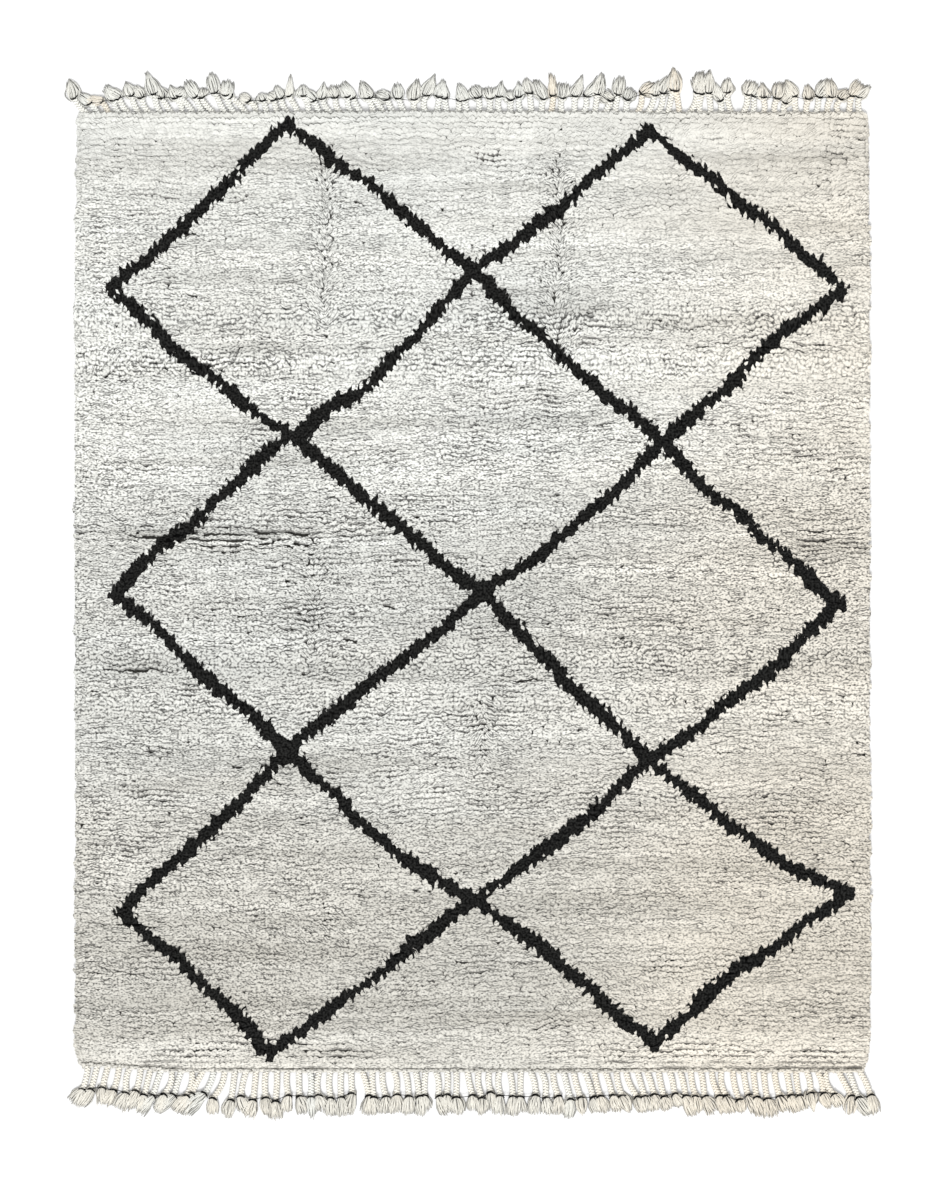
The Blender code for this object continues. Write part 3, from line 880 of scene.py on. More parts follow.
# soft patches: x, y, half width, half height, how much lighter or darker
patches = [
    (0.10, 0.04, 0.34, 0.13, -0.22), (-0.12, -0.60, 0.17, 0.11, 0.26), (0.98, -0.68, 0.32, 0.22, -0.20),
    (0.12, 1.42, 0.14, 0.08, 0.24), (0.62, -1.22, 0.17, 0.11, 0.24), (0.85, 1.20, 0.38, 0.09, -0.22),
    (-0.60, 0.20, 0.48, 0.08, 0.14), (-1.16, 0.90, 0.11, 0.36, 0.17), (-0.70, 0.42, 0.34, 0.12, -0.16),
    (0.45, 0.20, 0.28, 0.08, -0.15), (0.38, 0.60, 0.42, 0.12, 0.09), (-1.16, -0.84, 0.10, 0.14, 0.18),
]

# how the dye takes over the rug: its tone and its warmth
dye = {
    "nearRight": 0.14,          # how much lighter the wool is there
    "toneDrifts": [(0.19, 0.9, 0.022, 51), (0.12, 0.5, 0.05, 52), (0.04, 0.35, 0.25, 53)],
    "skeinDepth": 1.15,
    "knotSpread": 0.05,
    "warmth": 0.11,
    "warmerRight": 0.70,
    "warmerNear": 0.40,
    "warmSpots": [(0.65, -0.15, 0.45, 0.42, 0.22)],
    "warmDrifts": [(0.07, 0.5, 0.05, 61), (0.05, 0.4, 0.3, 62)],
}


def woolTone(x, y, rng):
    # bands of dye from one skein to the next, and the random tone of each knot
    nearRight = dye["nearRight"] * smooth((x - 0.05) / 0.8) * smooth((-0.15 - y) / 0.4)
    tone = drifted(readTable(lightness, y) + nearRight, x, y, *dye["toneDrifts"])
    for fromX, toX, bandY, wide, amount in skeins:
        drawn = drifted(bandY, x, 0 * x, (0.010, 0.30, 1.0, int(2000 + 1000 * bandY)))
        window = between(x, fromX - 0.05, toX + 0.05, 0.16)
        tone = tone + dye["skeinDepth"] * amount * window * np.exp(-(1.6 * (y - drawn) / wide) ** 2)
    tone = addSpots(tone, x, y, patches)
    return np.clip(tone + rng.normal(0, dye["knotSpread"], len(x)), 0, 1)


def woolWarmth(x, y):
    # how warm the cream is: cooler to the left and the far end
    rightward = dye["warmerRight"] * smooth((x + 0.15 * smooth((0.5 - y) / 1.5) - 0.10) / 1.25)
    nearward = dye["warmerNear"] * smooth((-y - 0.30) / 0.80)
    warmth = addSpots(dye["warmth"] + rightward + nearward, x, y, dye["warmSpots"])
    return np.clip(warmth + drifted(0, x, y, *dye["warmDrifts"]), 0, 1)


def shapeLocks():
    # every lock of the pile with its lean, its size and how far it stands open
    x, y, rows, rng = layKnots()
    count = len(x)
    angle = napAngle(x, y) + rng.normal(0, pile["ruffle"], count)
    openings, parted = openness(x, y, rows)
    reach = pile["reach"] * rng.normal(1, pile["reachSpread"], count) * (1.15 - pile["gapShorter"] * openings)
    reach = reach * (1 - pile["partingShorter"] * parted) * drifted(1, x, y, pile["reachDrift"])
    before = reach.copy()
    x, y, angle, reach = openSlits(x, y, angle, reach, creaseSlits(rng) + ruffleSlits(rng))
    openings = np.clip(openings + 1.5 * (1 - reach / before), 0, 1.2)
    narrower = 1 - pile["combNarrower"] * combed(x, y)
    width = pile["width"] * rng.normal(1, pile["widthSpread"], count) * narrower
    bend = rng.normal(0, pile["bendSpread"], count)
    side = np.sign(x)
    limit = halfWidth + sideBow(y, side) - cornerPull(y, side) + 0.001
    over = np.clip(np.abs(x + reach * np.cos(np.radians(angle))) - limit, 0, None)
    x = x - side * over
    top = solidTop(x, y) + pile["depth"] + pile["heightSpread"] * rng.normal(0, 1, count)
    top = np.clip(top, pile["lowest"], None)
    tipRise = lockForm["tipRise"] - lockForm["openTip"] * np.clip(openings, 0, 1)
    return x, y, angle, reach, top, tipRise, openings, width, bend, rows, rng


def buildPile():
    # all the locks, black where their middles lie in the lattice, in one black piece and a few cream ones
    *locks, rows, rng = shapeLocks()
    rim = rimLocks(rng)
    rimCount = rim.shape[1]
    rimRest = [np.zeros(rimCount)] + [rng.normal(mean, 0.002, rimCount) for mean in (pile["rimWidth"], 0.0)]
    joined = [np.concatenate(pair) for pair in zip(locks, [*rim, *rimRest])]
    x, y, angle, reach, top, tipRise, openings, width, bend = joined
    count = len(x)
    turn = np.radians(angle)
    away = latticeReach(x + 0.45 * reach * np.cos(turn), y + 0.45 * reach * np.sin(turn))
    away = away + rng.normal(0, pile["edgeStray"], count)
    black = away < 0
    edge = np.exp(-(away / pile["edgeBlur"]) ** 2)
    angle = angle + edge * rng.normal(0, pile["edgeTurn"], count)
    reach = reach * (1 + edge * rng.uniform(0.0, pile["edgeReach"], count))
    width = width * (1 - pile["edgeNarrower"] * edge)
    top = top + edge * rng.uniform(0.0, 0.0022, count)
    roll = rng.normal(0, pile["heightSpread"], count)
    points = lockPoints(x, y, angle, reach, top, width, bend, tipRise, roll)
    # painted shade of every point of every lock
    shade = np.tile(lockPaintedShade, (count, 1))
    # painted shade: the tip of an open lock is darker, as the shade in its parting
    shade[:, 7] -= 0.45 * np.clip(openings, 0, 1)
    values = {
        "lockTone": woolTone(x, y, rng),
        "lockWarmth": woolWarmth(x, y),
        "lockTurn": np.clip((napAngle(x, y) - 90) / 180 + 0.5, 0, 1),
        "lockRough": roughAmount(x, y),
        "rowShadow": np.concatenate([rowShadowAmount(x[:-rimCount], y[:-rimCount], rows), np.zeros(rimCount)]),
    }
    pieces = []
    cream = creamWool()
    bandEdges = np.linspace(-halfLength, halfLength, pile["bands"] + 1)
    bandEdges[0], bandEdges[-1] = -9.0, 9.0     # the end bands take in the overhang
    for k in range(pile["bands"]):
        inside = ~black & (y >= bandEdges[k]) & (y < bandEdges[k + 1])
        chosen = {key: value[inside] for key, value in values.items()}
        piece = lockPiece(f"woolPile{k + 1}", points[inside], chosen, shade[inside], cream)
        pieces.append(place(piece, "cream_wool"))
    piece = lockPiece("blackLattice", points[black], {}, shade[black], blackWool())
    pieces.append(place(piece, "black_wool"))
    print("pile:", count, "locks,", int(black.sum()), "of them black")
    return pieces


# the thin woven cloth that carries the knots
ground = {
    "thickness": 0.0042,
    "lumps": (0.0006, 0.03, 0.02, 81),
    "cellsAcross": 90,
    "cellsAlong": 110,
    "inset": 0.004,
    # painted shade: the top is dark as the shade down under the pile
    "top": (0.14, 0.135, 0.12),
    "back": (0.42, 0.41, 0.37),
    "black": (0.008, 0.008, 0.008),
}


def groundWool():
    # black under the lattice; elsewhere a top painted dark as the shade under the pile, and a dull cream back
    finish = Finish("groundWeave", 0.95, 0.1)
    wobble = finish.noise(finish.place((1.0, 1.0, 1.0)), 60.0, 2.0)
    edge = finish.math("MULTIPLY", finish.math("SUBTRACT", wobble, 0.5), 0.012)
    inside = finish.math("LESS_THAN", finish.math("ADD", finish.layer("latticeReach"), edge), 0.0)
    cream = finish.mix("MIX", finish.layer("backSide"), ground["top"], ground["back"])
    weave = finish.noise(finish.place((105.0, 62.0, 1.0)), 1.0, 1.0)
    cream = finish.shaded(cream, 0.8, weave, 0.35, grey(0.6), 0.6)
    return finish.done(finish.mix("MIX", inside, cream, ground["black"]), weave, 0.7, 0.002)


def closedSheet(name, x, y, low, high, material, values):
    # one closed sheet between low and high: x, y, low and high are (columns, rows) grids
    columns, rows = x.shape
    index = np.arange(columns * rows).reshape(columns, rows)
    top = np.stack([x, y, high], -1).reshape(-1, 3)
    bottom = np.stack([x, y, low], -1).reshape(-1, 3)
    quads = np.stack([index[:-1, :-1], index[1:, :-1], index[1:, 1:], index[:-1, 1:]], -1).reshape(-1, 4)
    shift = columns * rows
    rim = np.concatenate([index[:, 0], index[-1, 1:], index[-2::-1, -1], index[0, -2:0:-1]])
    ahead = np.roll(rim, -1)
    walls = np.stack([rim, rim + shift, ahead + shift, ahead], -1)
    faces = [np.concatenate([quads, quads[:, ::-1] + shift, walls])]
    points = np.concatenate([top, bottom]) + rugMiddle
    doubled = {key: np.concatenate([value.ravel(), value.ravel()]) for key, value in values.items()}
    doubled["backSide"] = np.concatenate([np.zeros(shift), np.ones(shift)])
    doubled["yarn"] = points
    return newMesh(name, points, faces, material, doubled)


def buildGround():
    u = np.linspace(-1, 1, ground["cellsAcross"] + 1)
    v = np.linspace(-1, 1, ground["cellsAlong"] + 1)
    u, v = np.meshgrid(u, v, indexing="ij")
    edge = halfWidth + sideBow(v * halfLength, np.sign(u)) - cornerPull(v * (halfLength + 0.012), np.sign(u))
    x = u * (edge - ground["inset"])
    reach = halfLength + rug["headingDepth"] - 0.001
    y = np.where(v < 0, v * (reach + endBow(x, -1)), v * (reach + endBow(x, 1)))
    high = drifted(ground["thickness"], x, y, ground["lumps"])
    values = {"latticeReach": latticeReach(x, y)}
    piece = closedSheet("groundWeave", x, y, 0 * x, high, groundWool(), values)
    print("ground weave")
    return place(piece, "cream_wool", "pile_body")


# the cream yarn of the woven bands, plaits and tassels; the dark colours are painted shade where the yarn
# lies low
warpLook = {
    "light": (0.97, 0.965, 0.93),
    "dark": (0.34, 0.335, 0.31),
    "tasselLight": (0.90, 0.895, 0.86),
    "tasselPaintedShade": (0.24, 0.235, 0.22),
    "headingLight": (0.74, 0.725, 0.66),
    "headingPaintedShade": (0.36, 0.35, 0.32),
    "fibresPerMetre": 620,
    "fibreDark": (0.56, 0.55, 0.53),
    "relief": 0.0012,
}


def warpWool(name, light, dark, fibresAlong):
    look = warpLook
    finish = Finish(name, 0.92, 0.2)
    fibre = finish.fibres(finish.layer("yarn", "Vector"), look["fibresPerMetre"], fibresAlong)
    # painted shade: dark where the yarn lies low, light where it stands high
    base = finish.ramp(finish.layer("paintedShade"), (0.0, dark), (0.75, light))
    warmth = finish.layer("lockWarmth")
    base = finish.shaded(base, 1.0, warmth, 0.0, creamLook["cool"], 1.0, creamLook["warm"])
    base = finish.shaded(base, 0.7, fibre, 0.34, look["fibreDark"], 0.52)
    return finish.done(base, fibre, 0.7, look["relief"])


heading = {
    "thickness": 0.0056,
    "relief": 0.0014,           # how far the weft stands over the warp
    "lumps": (0.0005, 0.012, 0.012, 93),
    "cellSize": 0.0050,
    "weftRows": 4,
}


def buildHeading(name, side, material):
    # the woven band between the pile and the plaits
    half = rug["fringeSpan"] / 2
    u = np.linspace(-half, half, int(2 * half / heading["cellSize"]) + 1)
    rows = np.arange(2 * heading["weftRows"] + 1)
    x, row = np.meshgrid(u, rows, indexing="ij")
    v = row / rows[-1]
    start = side * (halfLength + endBow(x, side))
    depth = rug["headingDepth"] * drifted(1, x, 0 * x, (0.10, 0.05, 1.0, 91 + side))
    y = start + side * (v * depth - 0.002 * (1 - v))
    over = np.cos(math.pi * np.round(x / heading["cellSize"])) * np.cos(math.pi * row)
    high = heading["thickness"] + heading["relief"] * over * (1 - 0.3 * v)
    high = drifted(high * (1 - 0.30 * v ** 4), x, y, heading["lumps"])
    if side < 0:
        x, y, high, over = (grid[:, ::-1] for grid in (x, y, high, over))
    values = {
        # painted shade: the weft lighter where it passes over, darker where it passes under
        "paintedShade": np.clip(0.45 + 0.40 * over, 0, 1),
        "lockWarmth": woolWarmth(x, y),
    }
    low = ground["thickness"] + 0.0003 + 0 * x
    piece = closedSheet(name, x, y, low, np.maximum(high, low + 0.0006), material, values)
    return place(piece, "warp_yarn")


# how each fringe lies: x, degrees of the plaits, degrees of the tassels (positive to +X), and both lengths;
# stray tassels: x, length of the plait, of the tassel, its degrees, share of the width, leaf share, warmth
fringes = {
    "near": {
        "side": -1,
        "node": "fringe_near",
        "tieYarn": 0.0018,
        "lies": [
            (-1.25, -13, -30, 0.076, 0.058), (-1.05, -12, -16, 0.074, 0.062), (-0.99, -12, -24, 0.076, 0.060),
            (-0.87, -16, -42, 0.076, 0.066), (-0.80, -26, -12, 0.082, 0.062), (-0.74, -6, 0, 0.084, 0.060),
            (-0.50, 1, 2, 0.080, 0.060), (-0.25, 5, 8, 0.078, 0.058), (0.0, 7, 6, 0.078, 0.058),
            (0.25, 7, 4, 0.078, 0.058), (0.40, 16, 20, 0.076, 0.058), (0.65, 14, 28, 0.078, 0.058),
            (0.95, 8, 22, 0.082, 0.054), (1.05, 14, 34, 0.066, 0.054), (1.14, 24, 12, 0.078, 0.060),
            (1.25, 16, 28, 0.078, 0.060),
        ],
        "stray": [
            (-1.00, 0.078, 0.070, -44, 1.15, 0.1, 0.2), (-0.93, 0.074, 0.078, -52, 1.25, 0.1, 0.2),
            (-0.83, 0.070, 0.088, -56, 1.30, 0.0, 0.1), (-0.52, 0.080, 0.066, 8, 0.75, 0.5, 0.1),
            (0.30, 0.086, 0.062, -4, 0.9, 0.2, 0.3), (1.20, 0.082, 0.070, 34, 1.1, 0.4, 0.5),
        ],
        "leanSpread": 4, "turnSpread": 9, "plaitSpread": 0.06, "tasselSpread": 0.10,
        "leaf": 0.0,            # 1 narrows a tassel again at its tip
    },
    "far": {
        "side": 1,
        "node": "fringe_far",
        "tieYarn": 0.0014,
        "lies": [
            (-1.25, -34, -42, 0.036, 0.056), (-1.05, -30, -26, 0.042, 0.050), (-0.85, -30, -24, 0.048, 0.054),
            (-0.74, -30, -30, 0.048, 0.046), (-0.65, -28, -34, 0.036, 0.034), (-0.52, -10, -6, 0.044, 0.044),
            (-0.38, -22, -22, 0.044, 0.054), (-0.25, -26, -40, 0.044, 0.046), (-0.16, -4, 14, 0.040, 0.060),
            (0.05, 0, -4, 0.042, 0.048), (0.20, 2, 6, 0.048, 0.052), (0.36, 4, 22, 0.044, 0.052),
            (0.50, 14, 38, 0.054, 0.044), (0.63, 2, 0, 0.064, 0.062), (0.80, 3, 6, 0.048, 0.052),
            (0.95, 5, 20, 0.044, 0.050), (1.08, 0, -4, 0.052, 0.052), (1.25, 6, 30, 0.042, 0.042),
        ],
        "stray": [
            (-1.155, 0.034, 0.062, -84, 0.80, 0.3, 0.9), (-1.21, 0.044, 0.064, -16, 1.0, 0.8, 0.2),
            (-0.98, 0.058, 0.074, -16, 1.0, 0.8, 0.1), (-0.90, 0.050, 0.034, 30, 0.9, 0.4, 0.1),
            (-0.79, 0.062, 0.066, -12, 1.1, 0.5, 0.1), (-0.70, 0.036, 0.036, -60, 0.9, 0.3, 0.3),
            (-0.61, 0.038, 0.030, -50, 1.0, 0.2, 0.2), (-0.54, 0.050, 0.066, 4, 0.50, 0.6, 0.2),
            (-0.30, 0.046, 0.030, -60, 1.0, 0.2, 0.1), (-0.16, 0.050, 0.072, 24, 1.0, 0.8, 0.1),
            (-0.04, 0.034, 0.030, 50, 0.8, 0.3, 0.1), (0.12, 0.036, 0.034, -40, 0.9, 0.3, 0.1),
            (0.25, 0.050, 0.070, -4, 0.60, 0.7, 1.1), (0.33, 0.048, 0.070, 20, 0.8, 0.8, 0.2),
            (0.42, 0.034, 0.040, -50, 1.1, 0.2, 0.3), (0.52, 0.056, 0.054, 56, 1.2, 0.2, 0.9),
            (0.65, 0.066, 0.074, -8, 1.15, 0.7, 1.3), (0.74, 0.060, 0.072, 2, 0.95, 0.8, 0.4),
            (0.79, 0.036, 0.060, -20, 0.8, 0.6, 0.3), (0.88, 0.050, 0.030, 40, 0.8, 0.3, 0.3),
            (1.10, 0.048, 0.062, 30, 1.1, 0.3, 0.4), (1.24, 0.046, 0.054, 42, 0.7, 0.6, 0.5),
        ],
        "leanSpread": 8, "turnSpread": 17, "plaitSpread": 0.12, "tasselSpread": 0.16,
        "leaf": 0.55,
    },
}

plait = {
    "halfSwing": 0.0060,        # how far a ply swings to each side
    "lift": 0.0026,
    "plyWidth": 0.0054,
    "plyThickness": 0.0031,
    "period": 0.027,
    "stepsPerPeriod": 9,
    "sides": 5,
}

tie = {
    "halfWidth": 0.0130,
    "halfHeight": 0.0056,
    "droop": 0.0062,
    "turns": 2,
    "stations": 14,             # around one turn
    "linkReach": 0.052,         # a loose end runs on to the next tie where it is this close
    "linkHeight": 0.0095,
    "linkStations": 7,
}

tassel = {
    "yarns": 24,
    "yarn": 0.0022,
    "spread": 0.0230,
    "topSpread": 0.86,          # share of it for the upper layer
    "topLift": 1.45,            # yarns
    "lengthSpread": 0.06,
    "girthSpread": 0.10,
    "waver": 0.0024,
    "neckWidth": 0.0075,
    "neckReach": 0.010,         # how far the yarns follow the plait's direction
    "crown": 0.0030,
    "stations": 6,
    "sides": 3,
}


def fringeStrands(fringe, seed):
    # root, tie and tip of every strand, from the table of how the fringe lies
    rng = np.random.default_rng(seed)
    count = rug["plaits"]
    pitch = rug["fringeSpan"] / count
    x = (np.arange(count) + 0.5) * pitch - rug["fringeSpan"] / 2
    lean, turn, plaitLength, tasselLength = (readTable(fringe["lies"], x, column) for column in (1, 2, 3, 4))
    lean = lean + rng.normal(0, fringe["leanSpread"], count)
    turn = turn + rng.normal(0, fringe["turnSpread"], count)
    plaitLength = plaitLength * rng.normal(1, fringe["plaitSpread"], count)
    tasselLength = tasselLength * rng.normal(1, fringe["tasselSpread"], count)
    width = rng.normal(1, 0.10, count)
    leaf = np.clip(fringe["leaf"] + rng.normal(0, 0.30, count), 0, 1)
    warmth = woolWarmth(x, 0 * x + fringe["side"] * halfLength) + rng.normal(0, 0.06, count)
    for strayX, strayPlait, strayTassel, strayTurn, strayWidth, strayLeaf, strayWarmth in fringe["stray"]:
        k = int(np.argmin(np.abs(x - strayX)))
        plaitLength[k], tasselLength[k], turn[k] = strayPlait, strayTassel, strayTurn
        width[k], leaf[k], warmth[k] = strayWidth, strayLeaf, strayWarmth
    lean, turn = np.radians(lean), np.radians(turn)
    side = fringe["side"]
    rootX = x + rng.normal(0, 0.0016, count)
    rootY = side * (halfLength + rug["headingDepth"] + endBow(x, side) - 0.004)
    tieX = rootX + plaitLength * np.tan(lean)
    tieY = rootY + side * plaitLength
    tipX = tieX + tasselLength * np.sin(turn)
    tipY = tieY + side * tasselLength * np.cos(turn)
    level = rng.uniform(0, 1, count)
    bow = rng.normal(0, 0.0035, count)
    return [dict(root=(rootX[k], rootY[k]), tie=(tieX[k], tieY[k]), tip=(tipX[k], tipY[k]),
                 level=level[k], bow=bow[k], width=width[k], leaf=leaf[k], warmth=warmth[k])
            for k in range(count)]


def sweep(centre, across, up, halfWide, halfThick, sides):
    # rings of points along a line: centre is (n, 3), the rest is the same or one value for all of it
    across, up = np.broadcast_to(across, centre.shape), np.broadcast_to(up, centre.shape)
    halfWide, halfThick = np.broadcast_to(halfWide, len(centre)), np.broadcast_to(halfThick, len(centre))
    around = 2 * math.pi * (np.arange(sides) + 0.5) / sides + math.pi * (1 / 2 - 1 / sides)
    ring = across[:, None] * (np.cos(around)[None, :, None] * halfWide[:, None, None])
    ring = ring + up[:, None] * (np.sin(around)[None, :, None] * halfThick[:, None, None])
    return centre[:, None] + ring


class Bundle:
    # gathers many swept yarns into one mesh

    def __init__(self):
        self.points, self.quads, self.caps, self.yarn = [], [], {}, []
        self.tip, self.warmth, self.total = [], [], 0

    # tip is the painted shade of the ring points, or one value for them all
    def add(self, rings, tip, warmth, closed=False):
        stations, sides = rings.shape[:2]
        index = self.total + np.arange(stations * sides).reshape(stations, sides)
        beside = np.roll(index, -1, axis=1)
        ahead, aheadBeside = np.roll(index, -1, axis=0), np.roll(beside, -1, axis=0)
        quads = np.stack([index, beside, aheadBeside, ahead], -1)
        if not closed:
            quads = quads[:-1]
            self.caps.setdefault(sides, []).extend([index[0][::-1], index[-1]])
        length = np.concatenate([[0], np.cumsum(np.linalg.norm(np.diff(rings.mean(1), axis=0), axis=1))])
        yarn = np.zeros((stations, sides, 3))
        yarn[:, :, 0] = np.arange(sides) / sides * 0.012
        yarn[:, :, 1] = length[:, None]
        yarn[:, :, 2] = len(self.quads) * 0.37
        self.quads.append(quads.reshape(-1, 4))
        self.points.append(rings.reshape(-1, 3))
        self.yarn.append(yarn.reshape(-1, 3))
        self.tip.append(np.broadcast_to(tip, (stations, sides)).ravel())
        self.warmth.append(np.full(stations * sides, warmth))
        self.total += stations * sides

    def piece(self, name, material):
        faces = [np.concatenate(self.quads)] + [np.array(caps) for caps in self.caps.values()]
        values = {"paintedShade": self.tip, "lockWarmth": self.warmth, "yarn": self.yarn}
        values = {key: np.concatenate(value) for key, value in values.items()}
        return newMesh(name, np.concatenate(self.points) + rugMiddle, faces, material, values)


def plaitLine(strand, steps):
    # the plait's middle line on the floor, a little bowed
    t = np.linspace(0, 1, steps)
    (rootX, rootY), (tieX, tieY) = strand["root"], strand["tie"]
    length = math.hypot(tieX - rootX, tieY - rootY)
    alongX, alongY = (tieX - rootX) / length, (tieY - rootY) / length
    bow = strand["bow"] * np.sin(math.pi * t)
    lineX = rootX + t * (tieX - rootX) - alongY * bow
    lineY = rootY + t * (tieY - rootY) + alongX * bow
    return t, np.stack([lineX, lineY, 0 * t], 1), np.array([-alongY, alongX, 0.0])


def addPlait(bundle, strand):
    # three plies that swing to and fro and pass over each other
    length = math.dist(strand["root"], strand["tie"])
    steps = max(6, int(round(length / plait["period"] * plait["stepsPerPeriod"])))
    t, line, across = plaitLine(strand, steps)
    narrow = (1 - 0.45 * smooth((t - 0.86) / 0.14)) * (0.82 + 0.18 * smooth(t / 0.15))
    base = plait["plyThickness"] + plait["lift"] + 0.0003
    for ply in range(3):
        phase = 2 * math.pi * (t * length / plait["period"] + ply / 3)
        swing = plait["halfSwing"] * np.sin(phase) * narrow
        lift = plait["lift"] * np.sin(2 * phase)
        centre = line + across * swing[:, None] + upward * (base + lift)[:, None]
        wide = plait["plyWidth"] * (0.86 + 0.20 * np.sin(2 * phase)) * (0.75 + 0.25 * narrow)
        rings = sweep(centre, across, upward, wide, plait["plyThickness"], plait["sides"])
        # painted shade: the lower parts of the plies darker
        shade = np.clip((rings[:, :, 2] - 0.0025) / (1.6 * base), 0, 1)
        bundle.add(rings, shade, strand["warmth"])


def unit(x, y):
    return np.array([x, y, 0.0]) / math.hypot(x, y)


def tieFrame(strand):
    # along and across the neck of the tassel, between the plait's and the tassel's direction
    (rootX, rootY), (tieX, tieY), (tipX, tipY) = strand["root"], strand["tie"], strand["tip"]
    along = unit(tieX - rootX, tieY - rootY) + 0.9 * unit(tipX - tieX, tipY - tieY)
    along = unit(along[0], along[1])
    return along, np.array([-along[1], along[0], 0.0])


def addTie(bundle, strand, yarn, rng):
    # turns of black yarn round the neck
    tieX, tieY = strand["tie"]
    along, across = tieFrame(strand)
    around = 2 * math.pi * np.arange(tie["stations"]) / tie["stations"]
    aside, above = np.cos(around), np.sin(around)
    for turn in range(tie["turns"]):
        offset = (turn - (tie["turns"] - 1) / 2) * yarn * 1.4 + rng.normal(0, 0.0005)
        skew = rng.normal(0, 0.0012)
        wide = tie["halfWidth"] * (0.94 + 0.06 * turn) * (0.75 + 0.25 * strand["width"])
        droop = tie["droop"] * aside ** 2 + skew * aside
        centre = np.array([tieX, tieY, tie["halfHeight"] + yarn * 0.9])
        path = centre + across * (wide * aside)[:, None] + along * (offset + droop)[:, None]
        path = path + upward * (tie["halfHeight"] * above)[:, None]
        outward = across * aside[:, None] + upward * above[:, None]
        bundle.add(sweep(path, outward, along, yarn, yarn, 4), 0.8, 0.5, closed=True)


def addLink(bundle, strand, other, yarn, rng):
    # the tie's loose end, lying over to the next tie
    (startX, startY), (endX, endY) = strand["tie"], other["tie"]
    if math.dist(strand["tie"], other["tie"]) > tie["linkReach"] or rng.uniform() < 0.15:
        return
    t = np.linspace(0, 1, tie["linkStations"])
    side = 1 if startY > strand["root"][1] else -1
    sag = side * rng.uniform(-0.001, 0.006) * np.sin(math.pi * t)
    height = tie["linkHeight"] + 0.0026 * np.abs(np.cos(math.pi * t)) + 0.0006 * rng.normal()
    centre = np.stack([startX + t * (endX - startX), startY + t * (endY - startY) + sag, height], 1)
    girth = 0.8 * yarn * (1 + 0.35 * np.cos(2 * math.pi * t))
    bundle.add(sweep(centre, (0.0, 1.0, 0.0), upward, girth, girth, 4), 0.8, 0.5)


def addTassel(bundle, strand, rng):
    # two layers of yarns that fan out from the tie, or close again to a leaf
    (tieX, tieY), (tipX, tipY) = strand["tie"], strand["tip"]
    length = math.dist(strand["tie"], strand["tip"])
    along = unit(tipX - tieX, tipY - tieY)
    across = np.array([-along[1], along[0], 0.0])
    neck, _ = tieFrame(strand)
    count = tassel["yarns"]
    t = np.linspace(-0.10, 1, tassel["stations"])
    clear = np.clip(t, 0, 1)
    fan = smooth(clear * 1.5 + 0.12) * (0.82 + 0.32 * clear)
    leaf = np.sin(math.pi * (0.10 + 0.86 * clear ** 0.85)) * 1.02
    opened = fan * (1 - strand["leaf"]) + leaf * strand["leaf"]
    lower = count // 2
    sideLean = rng.normal(0, 0.18)
    for k in range(count):
        onTop = k >= lower
        number, total = (k - lower, count - lower) if onTop else (k, lower)
        spot = (number + 0.5 + rng.uniform(-0.3, 0.3)) / total * 2 - 1
        spread = tassel["spread"] * strand["width"] * (tassel["topSpread"] if onTop else 1.0)
        spread = spread * (1 + rng.normal(0, tassel["lengthSpread"]))
        shorter = (0.08 + 0.16 * strand["leaf"]) * spot ** 2
        reach = length * (1 - shorter + rng.normal(0, tassel["lengthSpread"]))
        sideways = spot * (tassel["neckWidth"] * (1 - fan) + spread * opened) + sideLean * 0.012 * clear ** 2
        sideways = sideways + tassel["waver"] * rng.normal() * np.sin(3 * clear + rng.uniform(0, 2))
        crown = tassel["crown"] * np.sin(math.pi * clear) * (1 - spot ** 2)
        layer = tassel["topLift"] if onTop else 0
        level = tassel["yarn"] * (0.95 + layer) + 0.004 * strand["level"] * (1 - t)
        centre = np.array([tieX, tieY, 0.0]) + along * (t * reach)[:, None] + across * sideways[:, None]
        follow = tassel["neckReach"] * np.clip(1 - 3 * clear, 0, 1) * (t > 0)
        centre = centre + (neck - along) * follow[:, None]
        centre = centre + upward * (level + crown * (1 if onTop else 0.3))[:, None]
        girth = tassel["yarn"] * (0.82 + 0.30 * np.sin(math.pi * clear)) * (1 - 0.45 * (t > 0.95))
        girth = girth * (1 + rng.normal(0, tassel["girthSpread"]))
        rings = sweep(centre, across, upward, girth * 1.2, girth * 0.95, tassel["sides"])
        rings[:, :, 2] = np.maximum(rings[:, :, 2], 0.0002)
        # painted shade: lower yarns darker, times a random tone for each yarn
        shade = np.clip((rings[:, :, 2] - 0.001) / 0.0085, 0, 1) * (0.62 + 0.38 * rng.uniform())
        bundle.add(rings, shade, strand["warmth"])


def buildFringe(name, fringe, seed, warpMaterial, tasselMaterial, tieMaterial):
    strands = fringeStrands(fringe, seed)
    plaits, ties, tassels = Bundle(), Bundle(), Bundle()
    rng = np.random.default_rng(seed + 1)
    for strand, other in zip(strands, strands[1:] + strands[-1:]):
        addPlait(plaits, strand)
        addTie(ties, strand, fringe["tieYarn"], rng)
        if other is not strand:
            addLink(ties, strand, other, fringe["tieYarn"], rng)
        addTassel(tassels, strand, rng)
    pieces = [
        place(plaits.piece(name + "Plaits", warpMaterial), "warp_yarn", fringe["node"]),
        place(tassels.piece(name + "Tassels", tasselMaterial), "warp_yarn"),
        place(ties.piece(name + "Ties", tieMaterial), "black_wool"),
    ]
    print(name, "fringe:", len(strands), "plaits")
    return pieces


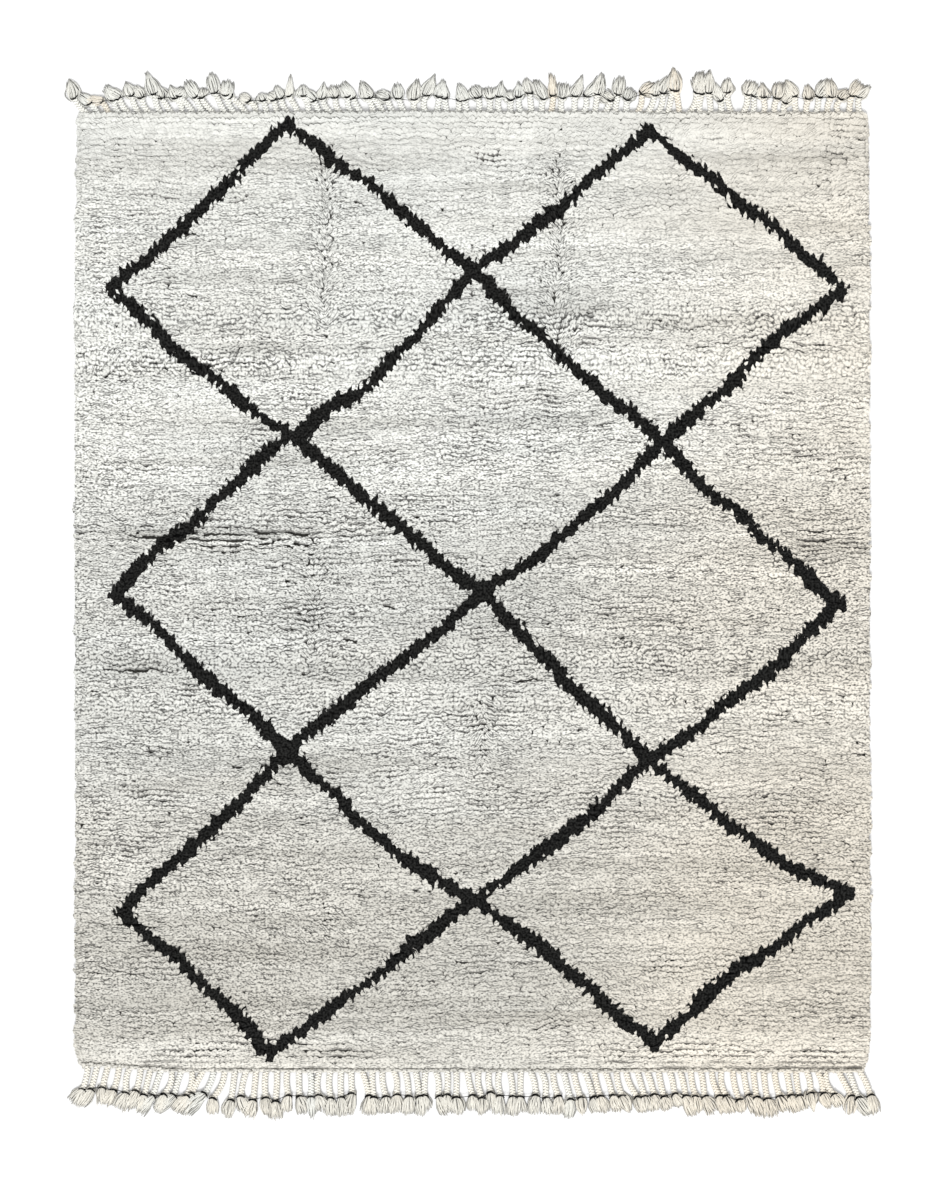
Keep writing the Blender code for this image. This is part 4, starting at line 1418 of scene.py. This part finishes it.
studio = {
    "lens": 85.0,
    "sensor": 36.0,
    "frameLong": 3.725,         # how much the picture takes in along its long side
    "floorSize": 14.0,
    "floorColour": (0.93, 0.93, 0.93),
    "skyStrength": 0.76,
    "sunStrength": 2.28,
    "sunTilt": 42.0,
    "sunTurn": -8.0,
    "sunSoftness": 22.0,
}


def buildStudio():
    scene = bpy.context.scene
    scene.view_settings.view_transform = "Standard"
    world = bpy.data.worlds.new("studioSky")
    world.use_nodes = True
    sky = world.node_tree.nodes["Background"]
    sky.inputs["Color"].default_value = (1.0, 1.0, 1.0, 1.0)
    sky.inputs["Strength"].default_value = studio["skyStrength"]
    scene.world = world
    light = bpy.data.lights.new("softKey", "SUN")
    light.energy = studio["sunStrength"]
    light.angle = math.radians(studio["sunSoftness"])
    key = bpy.data.objects.new("softKey", light)
    key.rotation_euler = (math.radians(studio["sunTilt"]), 0, math.radians(studio["sunTurn"]))
    scene.collection.objects.link(key)
    bpy.ops.mesh.primitive_plane_add(size=studio["floorSize"], location=(midX, midY, -0.0005))
    floor = bpy.context.object
    floor.name = "floor"
    finish = Finish("paleFloor", 0.9, 0.0)
    finish.shader.inputs["Base Color"].default_value = (*studio["floorColour"], 1.0)
    floor.data.materials.append(finish.material)
    camera = bpy.data.cameras.new("camera")
    camera.lens = studio["lens"]
    camera.sensor_width = studio["sensor"]
    eye = bpy.data.objects.new("camera", camera)
    height = studio["frameLong"] / 2 / (studio["sensor"] / 2 / studio["lens"])
    eye.location = (midX, midY, height + bodyHigh.z)
    scene.collection.objects.link(eye)
    scene.camera = eye
    print("studio")


buildStudio()
groundPiece = buildGround()
pilePieces = buildPile()
warpMaterial = warpWool("warpYarn", warpLook["light"], warpLook["dark"], 60.0)
headingMaterial = warpWool("headingWeave", warpLook["headingLight"], warpLook["headingPaintedShade"], 400.0)
tasselMaterial = warpWool("tasselYarn", warpLook["tasselLight"], warpLook["tasselPaintedShade"], 90.0)
tieMaterial = blackWool("tieYarn")
trim = []
for number, (fringeName, fringe) in enumerate(fringes.items()):
    trim.append(buildHeading(fringeName + "Heading", fringe["side"], headingMaterial))
    trim += buildFringe(fringeName, fringe, 200 + 10 * number, warpMaterial, tasselMaterial, tieMaterial)
